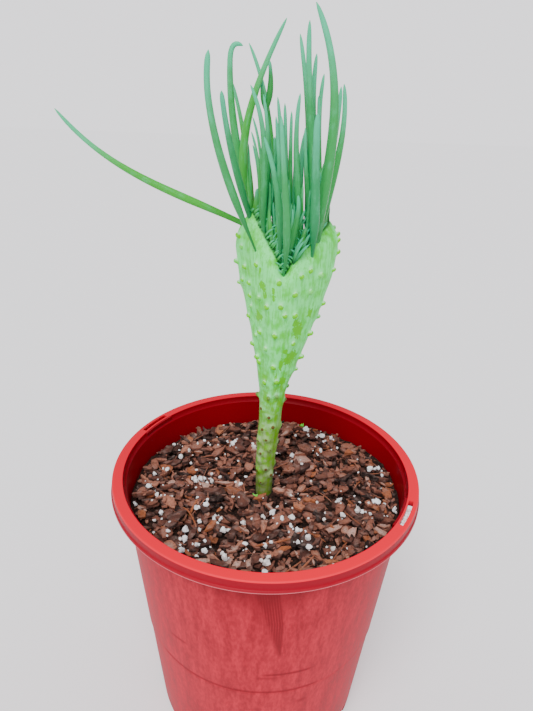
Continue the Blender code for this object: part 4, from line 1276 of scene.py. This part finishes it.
def make_stubs():
    """Pegs along each stub's normal tipped upwards, with radii from a table of reach and radius."""
    draw = np.random.default_rng(2)
    count = len(stub_points)
    worn = stub_points[:, 2:] < WORN_STUBS_TOP
    ways = unit(stub_normals + 0.45 * UP + draw.uniform(-0.12, 0.12, (count, 3)))
    length = draw.uniform(0.85, 1.25, (count, 1)) * np.where(worn, 0.62, 1.0)
    reach = np.where(STUB_REACH > 0, STUB_REACH * length, STUB_REACH)
    lines = stub_points[:, None] + ways[:, None] * reach[..., None]
    radii = STUB_RADII * draw.uniform(0.9, 1.2, (count, 1)) * np.where(worn, 0.8, 1.0)
    points = tubes(lines, radii, STUB_SIDES)
    obj = make_object("stubs", points, ringed_faces(count, len(STUB_REACH), STUB_SIDES))
    along = np.concatenate([STUB_REACH[:1], np.repeat(STUB_REACH, STUB_SIDES), [STUB_TIP]])
    high_up = smoothstep((stub_points[:, 2:] - 245.0) / 25.0)
    yellow = draw.random((count, 1))
    middle = np.concatenate([lines[:, :1], np.repeat(lines, STUB_SIDES, axis=1), lines[:, -1:]], 1)
    upward = unit(points - middle)[..., 2]
    on_side = 1.0 - smoothstep((along - 1.85) / 0.25)
    bare = np.maximum(smoothstep((0.4 - upward) / 0.4), 1.0 - on_side) * smoothstep((along + 0.9) / 0.9)
    paint(obj, tint=np.repeat(0.2 + 0.5 * yellow, points.shape[1]), rubbed=bare * high_up * (yellow > 0.12),
          # white on each peg's upward side is a painted highlight.
          white=0.62 * smoothstep((upward - 0.2) / 0.5) * high_up * on_side,
          rust=0.95 * smoothstep(along - 0.2) * (1.0 - high_up), growth=places_of(obj))
    dress(obj, stub_skin, 50.0)


make_stubs()

# %% [markdown]
# ## Leaves
#
# The leaves are round pencils that taper to a point. The long ones stand on the fold of the crest,
# and each has its own bend, so each has a row: root, tip, two sideways bows, a lean towards the back
# and a width. A Bezier curve through them gives the middle line, and a circle that shrinks towards
# the tip is carried along it. Shorter leaves fill the middle and a fringe of tiny ones follows the
# ridge. Those follow seeded rules, because no two plants agree on them.

# %% Shape of a leaf
HOOK_START = 0.8
# Leaves in front of the fold show their slim feet. The others' feet are hidden and plainer.
SLIM_FOOT = 0.26
WIDE_FOOT = 0.7
LEAF_FLATNESS = 0.86
# What a leaf's row has for bluntness and hook where it leaves them out, after its eleven numbers
LEAF_DEFAULTS = (0.0,) * 11 + (0.3, 0.0, 0.0)


def leaf_lines(roots, tips, bows, leans, hooks, t):
    """Middle lines: Bezier curves whose two middle points are bowed sideways and leant to the back.

    A hook moves the last stretch across and up, by the square of the way past the hook's start.
    """
    chords = tips - roots
    zero = np.zeros(len(roots))
    sideways = unit(np.stack([chords[:, 2], zero, -chords[:, 0]], -1))
    back = np.stack([zero, leans, zero], -1)
    low = roots + chords / 3 + sideways * bows[:, :1] + back
    high = roots + chords * 2 / 3 + sideways * bows[:, 1:] + back
    t = t[:, None]
    past = np.clip((t - HOOK_START) / (1.0 - HOOK_START), 0.0, 1.0)
    shares = ((1 - t)**3, 3 * t * (1 - t)**2, 3 * t**2 * (1 - t), t**3, past**2)
    ends = (roots, low, high, tips, np.stack([hooks[:, 0], zero, hooks[:, 1]], -1))
    return sum(share * end[:, None] for share, end in zip(shares, ends))


def leaf_width(t, blunt, foot):
    """The share of its full width that a leaf has at t, for leaves from pointed, 0, to blunt, 1.

    It starts at the foot's share, is full at a third, tapers, and closes as a quarter circle.
    """
    foot = foot + (1.0 - foot) * smoothstep((t - 0.02) / 0.32)
    taper = 1.0 - (0.6 - 0.32 * blunt) * smoothstep((t - 0.3) / 0.7)
    last = 0.13 - 0.085 * blunt
    return foot * taper * np.sqrt(1.0 - np.clip((t - 1.0 + last) / last, 0.0, 1.0) ** 2)


def make_leaves(name, rows, steps, sides, long=0.0, bright_tips=0.0, finish=leaf_skin):
    """Leaves from rows of root, tip, two bows, lean, width, tint and perhaps bluntness and a hook."""
    table = np.array([(*row, *LEAF_DEFAULTS[len(row):]) for row in rows])
    roots, tips, bows, hooks = table[:, :3], table[:, 3:6], table[:, 6:8], table[:, 12:]
    leans, widths, tints, blunt = table[:, 8:12].T
    even = np.linspace(0.0, 1.0, steps)
    t = smoothstep(even) * 0.5 + even * 0.5
    foot = np.where(roots[:, 1:2] < 0.0, SLIM_FOOT, WIDE_FOOT)
    radii = np.maximum(leaf_width(t, blunt[:, None], foot), 0.07) * widths[:, None] / 2
    points = tubes(leaf_lines(roots, tips, bows, leans, hooks, t), radii, sides, LEAF_FLATNESS)
    obj = make_object(name, points, ringed_faces(len(rows), steps, sides))
    share = np.tile(np.concatenate([[0.0], np.repeat(t, sides), [1.0]]), (len(rows), 1))
    length = np.linalg.norm(tips - roots, axis=1)[:, None]
    up = share * length
    turn = np.concatenate([[0.0], np.tile(all_round(sides), steps), [0.0]])
    shift = np.arange(len(rows))[:, None, None] * np.array([9.0, 0.0, 37.0])
    shade = 0.84 * (1.0 - long) * smoothstep(1.0 - up / np.minimum(14.0, 0.5 * length))
    tip = 0.55 * long * smoothstep((share - 0.66) / 0.34)
    paint(obj, tint=np.repeat(tints, points.shape[1]), foot=0.8 * long * smoothstep(1.0 - up / 3.5),
          tip=tip + bright_tips * smoothstep((share - 0.35) / 0.4),
          # Long leaves get less wax low down and more towards the tip, partly painted shade on their lower
          # halves.
          halo=long * (0.8 * smoothstep((share - 0.5) / 0.5) - 0.24),
          shade=shade + 0.42 * long * smoothstep(1.0 - up / 36.0), growth=about_axis(2.0, up, turn) + shift)
    dress(obj, finish, 60.0)


def leaf_row(foot, way, *numbers):
    """A leaf's row from its foot, the way to its tip, and its other numbers."""
    return (*foot, *(foot + way), *numbers)


# %% Long leaves
# Each row: x, y, z of the root and of the tip, bows at one and two thirds to the right, lean to the
# back, width, tint, and perhaps how blunt the tip is and how far it hooks across and up
LONG_LEAVES = (
    (-15, 9, 356, -115, 2, 414, -3, -16, 0, 4.4, 0.8),
    (-10.4, -4.4, 345.5, -35, -20, 441.6, -4, -10, -5, 4.3, 0.25, 0.85, 1.2, 0),
    (-12.8, 8, 356.5, -29, -8, 425, -1.5, -3, -3, 4.1, 0.1, 0.7),
    (-13, 12, 358, -25.1, 20, 460.2, -5, -10, 3, 4.5, 0.3, 0.5, 4.8, -14),
    (-13, 12, 358, 1.5, 8, 458, -19, -12, 6, 4.7, 0.7, 0.15),
    (-12, 11, 357, -27, 34, 430, 1, 3, 6, 3.6, 0.9), (-12, 10, 358, -16.5, 18, 378, -4, 2, 0, 2.4, 0.6),
    (-6, 1, 352, -15, -6, 428, 0, 9.5, -2, 3.8, 0.2),
    (-3, -1.5, 348, -9, 12, 424, -2.5, 4, 3, 3.4, 0.3),
    (0, -4, 345, -17.5, 26, 448, 2.5, 11, 8, 3.6, 0.5),
    (0.5, -5, 344, -8, 15.5, 425, 6, -2, 4, 3.4, 0.2),
    (-7.5, 14, 416, -6.5, 18, 440, 2, 2, 0, 3.4, 0.4),
    (-7.5, 14, 416, -10, 15, 431, -1, -1, 0, 2.4, 0.3),
    (3, -8, 341, -7.5, -12, 405, 3.5, 5, -3, 4, 0.1), (5, -9, 330, 0.5, -22, 415, 5, 0.5, -6, 4.1, 0.2),
    (5, -7, 334, -1.5, 14, 423, 0.5, 2.5, 4, 3.6, 0.3), (5.5, -5, 338, 2.5, 20, 420, 1, 1, 5, 3.6, 0.2),
    (6.5, -4, 339, 6.5, 26, 416, 2, 0, 6, 3.4, 0.4), (4, -7.5, 336, -2, 2, 414, 0, 1.5, 3, 3.4, 0.1),
    (2.5, -7, 339, -2.5, 8, 404, 0.5, 0.5, 3, 3.2, 0.3), (14.5, -3, 346, 10, 8, 425, 0, -5, 2, 4, 0.2),
    (12, -5, 343, 14.5, 22, 407, -0.5, -4, 4, 3, 0.3),
    (13.5, -4, 345, 13.5, 14, 400, 0, -1, 2, 3.2, 0.2), (19.5, 1, 352, 13, 14, 458, 4, -2, 4, 5, 0.15),
    (18.5, 0, 351, 9, 26, 453, 3.5, 4, 6, 4.2, 0.3),
    (20.5, -4.2, 339, 17.5, -22, 417, 2, -1, -5, 5.3, 0, 0.5),
    (22.5, 3, 354, 18, 22, 444, 0.5, -4, 4, 4.6, 0.2), (24, 5, 355, 23, 28, 435, 0.5, -4, 5, 4, 0.3),
    (23.5, 4, 354, 20, 18, 424, -4, 2, 4, 3.6, 0.1), (23, 2, 342, 14, -16, 462, 1.5, 18, -10, 5.6, 0.3),
    (27, 9, 356, 32, 22, 429, -2, 2, 6, 4.4, 0.25), (24, 3, 347, 31.5, 4, 430, -1, 8, 0, 4.4, 0.35),
    (24, -0.5, 350, 21.5, -10, 389, 3, 0, -2, 3, 0.5),
    (19.5, 1.5, 351, 13.5, 6, 409, 0.5, -1.5, 2, 3.2, 0.2),
    (9, -6, 340, 11, -9, 377, -3, 3, -2, 3.8, 0.3), (8, -6, 339, 8.5, -9, 370, -4, 2, -1, 2.6, 0.4),
    (11.5, -5, 342, 15.5, 0, 368, -5, -1.5, -2, 2.6, 0.5),
    (12, -4, 344, 18, 2, 365, -1.5, -4.5, -2, 2.6, 0.4),
    (9.7, -7.2, 339.3, 19.5, 0, 363, 4, -3.5, -3, 3.6, 0.6),
    (-6, 0.5, 353, -1, 8, 367, 4, -4, 2, 1.8, 0.6), (-4, -2, 350, 0, 6, 361.5, -4, 3, 0, 1.8, 0.7),
    (-11.2, 7, 358, -10.8, 8.5, 377, -0.4, 0.3, 0, 4.6, 1),
    (-6, 1, 352, -13.8, -1, 413.5, 0, 5, -1, 2.4, 0.4),
    (-6.5, 2, 352, -14.4, 1, 406.5, 0, 4, 0, 2.4, 0.5),
    (-7, 2.5, 352, -13.6, 3, 400, 0, 3, 0, 2.2, 0.3),
)
make_leaves("long_leaves", LONG_LEAVES, 30, 12, 1.0)

# %% Leaves of the middle
INNER_LEAF_COUNT = 16
FILLING_LEAF_COUNT = 64


def inner_rows():
    """The plain solid's inner leaves by its own seeded rule, then more and shorter ones."""
    draw = random.Random(23)
    rows = []
    for number in range(INNER_LEAF_COUNT):
        q = -0.5 + 1.05 * (number + draw.uniform(0.1, 0.9)) / INNER_LEAF_COUNT
        length = draw.uniform(26.0, 62.0)
        way = np.array([draw.uniform(-6.0, 5.0), draw.uniform(2.0, 20.0), length])
        rows.append(leaf_row(ridge(q) + np.array([0.0, 0.6, -3.0]), way, draw.uniform(-2.0, 3.0),
                             draw.uniform(-2.0, 2.0), draw.uniform(0.0, 5.0), draw.uniform(2.4, 3.4),
                             draw.uniform(0.0, 0.5)))
    for _ in range(FILLING_LEAF_COUNT):
        foot = ridge(draw.triangular(-0.8, 0.92, 0.2))
        foot = foot + np.array([draw.uniform(-1.0, 1.0), draw.uniform(-0.6, 1.4), -2.5])
        length = draw.triangular(10.0, 54.0, 18.0)
        way = np.array([draw.uniform(-0.14, 0.1), draw.uniform(0.0, 0.3), 1.0]) * length
        bow = draw.uniform(-0.05, 0.05) * length
        rows.append(leaf_row(foot, way, bow, -0.6 * bow, draw.uniform(0.0, 2.0), draw.uniform(1.7, 2.9),
                             draw.uniform(0.1, 0.8)))
    return rows


make_leaves("inner_leaves", inner_rows(), 14, 9, 0.25)

# %% Fringe of tiny leaves
# Ranks of the fringe: how many, side of the ridge, where the rank ends along the ridge, level,
# length, lean over the fold and bow
FRINGE_RANKS = (
    (54, 1.0, 0.2, 0.998, 4.9, 0.9, 0.26), (50, -1.0, 0.42, 0.998, 6.2, 0.7, 0.24),
    (52, -1.0, 0.42, 0.99, 7.4, 0.4, 0.24), (40, -1.0, 0.42, 0.98, 8.5, 0.2, 0.2),
)
FAN_COUNT = 24


def fringe_rows():
    """Tiny claw-shaped leaves in even ranks along the ridge, which lean in over the fold and turn up."""
    draw = random.Random(31)
    rows = []
    for count, side, last, level, length, lean, bow in FRINGE_RANKS:
        for number in range(count):
            q = -0.96 + 1.92 * (number + draw.uniform(0.1, 0.9)) / count
            if q > last:
                continue
            foot = skin(side * math.acos(q), level) - 0.6 * UP
            inward = 1.0 if foot[0] < 5.0 else -1.0
            size = length * draw.uniform(0.6, 1.35)
            way = np.array([inward * lean * draw.uniform(0.7, 1.2), draw.uniform(-0.5, 0.1), 1.0]) * size
            bend = -inward * bow * draw.uniform(0.8, 1.2) * size
            rows.append(leaf_row(foot, way, bend, bend, 0.0, draw.uniform(1.1, 1.6), draw.uniform(0.6, 1.0)))
    for number in range(FAN_COUNT):
        q = 0.05 + 0.36 * (number + draw.random()) / FAN_COUNT
        foot = skin(draw.choice((-1.0, 1.0)) * math.acos(q), 0.995) - 0.8 * UP
        size = draw.uniform(7.0, 17.0)
        way = np.array([draw.uniform(0.1, 0.7), draw.uniform(-0.3, 0.2), 1.0]) * size
        rows.append(leaf_row(foot, way, -0.14 * size, -0.1 * size, 0.0, draw.uniform(1.6, 2.3),
                             draw.uniform(0.0, 0.6)))
    return rows


make_leaves("fringe_leaves", fringe_rows(), 7, 6, 0.0, 0.6)

# %% Seedlings in the mix
# Each sprig: its place, how many blades, and their length
SEEDLINGS = ((-5.8, -9.5, 4, 3.2), (29.0, 79.0, 5, 4.5))


def seedling_rows():
    """Sprigs of a few short blades that spread from one point in the mix."""
    draw = random.Random(9)
    rows = []
    for x, y, blades, length in SEEDLINGS:
        foot = np.array([x, y, float(mix_height(x, y)) - 1.0])
        for _ in range(blades):
            way = np.array([draw.uniform(-0.8, 0.8), draw.uniform(-0.8, 0.8), 1.0]) * length
            way = way * draw.uniform(0.6, 1.0)
            rows.append(leaf_row(foot, way, 0.3, -0.3, 0.0, draw.uniform(1.2, 1.8), 1.0))
    return rows


make_leaves("seedlings", seedling_rows(), 7, 7, finish=stub_skin)

# %% [markdown]
# ## Floor, air and light
#
# The pot stands on a plain pale floor, and the world is as pale, so the two meet without a line.
# The light is soft: a sun with a very wide angle, from the upper left in front, and the world, which
# lifts the shadows. The world looks brighter to the camera than it shines, so the sun still shapes
# the leaves.

# %% Floor and lights
FLOOR_HALF = 6000.0
SUN_WAY = (0.2, 0.8, -1.2)
SUN_POWER = 3.3
SUN_SPREAD = 36.0
AIR_SHINE = 0.94
AIR_SEEN = 2.0

corners = np.array([[-1, -1, 0], [1, -1, 0], [1, 1, 0], [-1, 1, 0]]) * FLOOR_HALF
floor = make_object("floor", corners, [(0, 1, 2, 3)])
matt, *_ = new_finish("pale_floor", Base_Color=srgb(251, 250, 252), Roughness=1.0, Specular_IOR_Level=0.0)
floor.data.materials.append(matt)
sun = new_object("soft_sun", bpy.data.lights.new("soft_sun", "SUN"))
sun.data.energy = SUN_POWER
sun.data.angle = math.radians(SUN_SPREAD)
sun.matrix_world = Vector(SUN_WAY).to_track_quat("-Z", "Y").to_matrix().to_4x4()
world = bpy.data.worlds.new("pale_air")
world.use_nodes = True
air = world.node_tree.nodes["Background"].inputs
air["Color"].default_value = srgb(232, 230, 234)
seen = add(world.node_tree, "ShaderNodeLightPath", output="Is Camera Ray")
link(seen.stretch(0.0, 1.0, AIR_SHINE, AIR_SEEN), air["Strength"])
bpy.context.scene.world = world
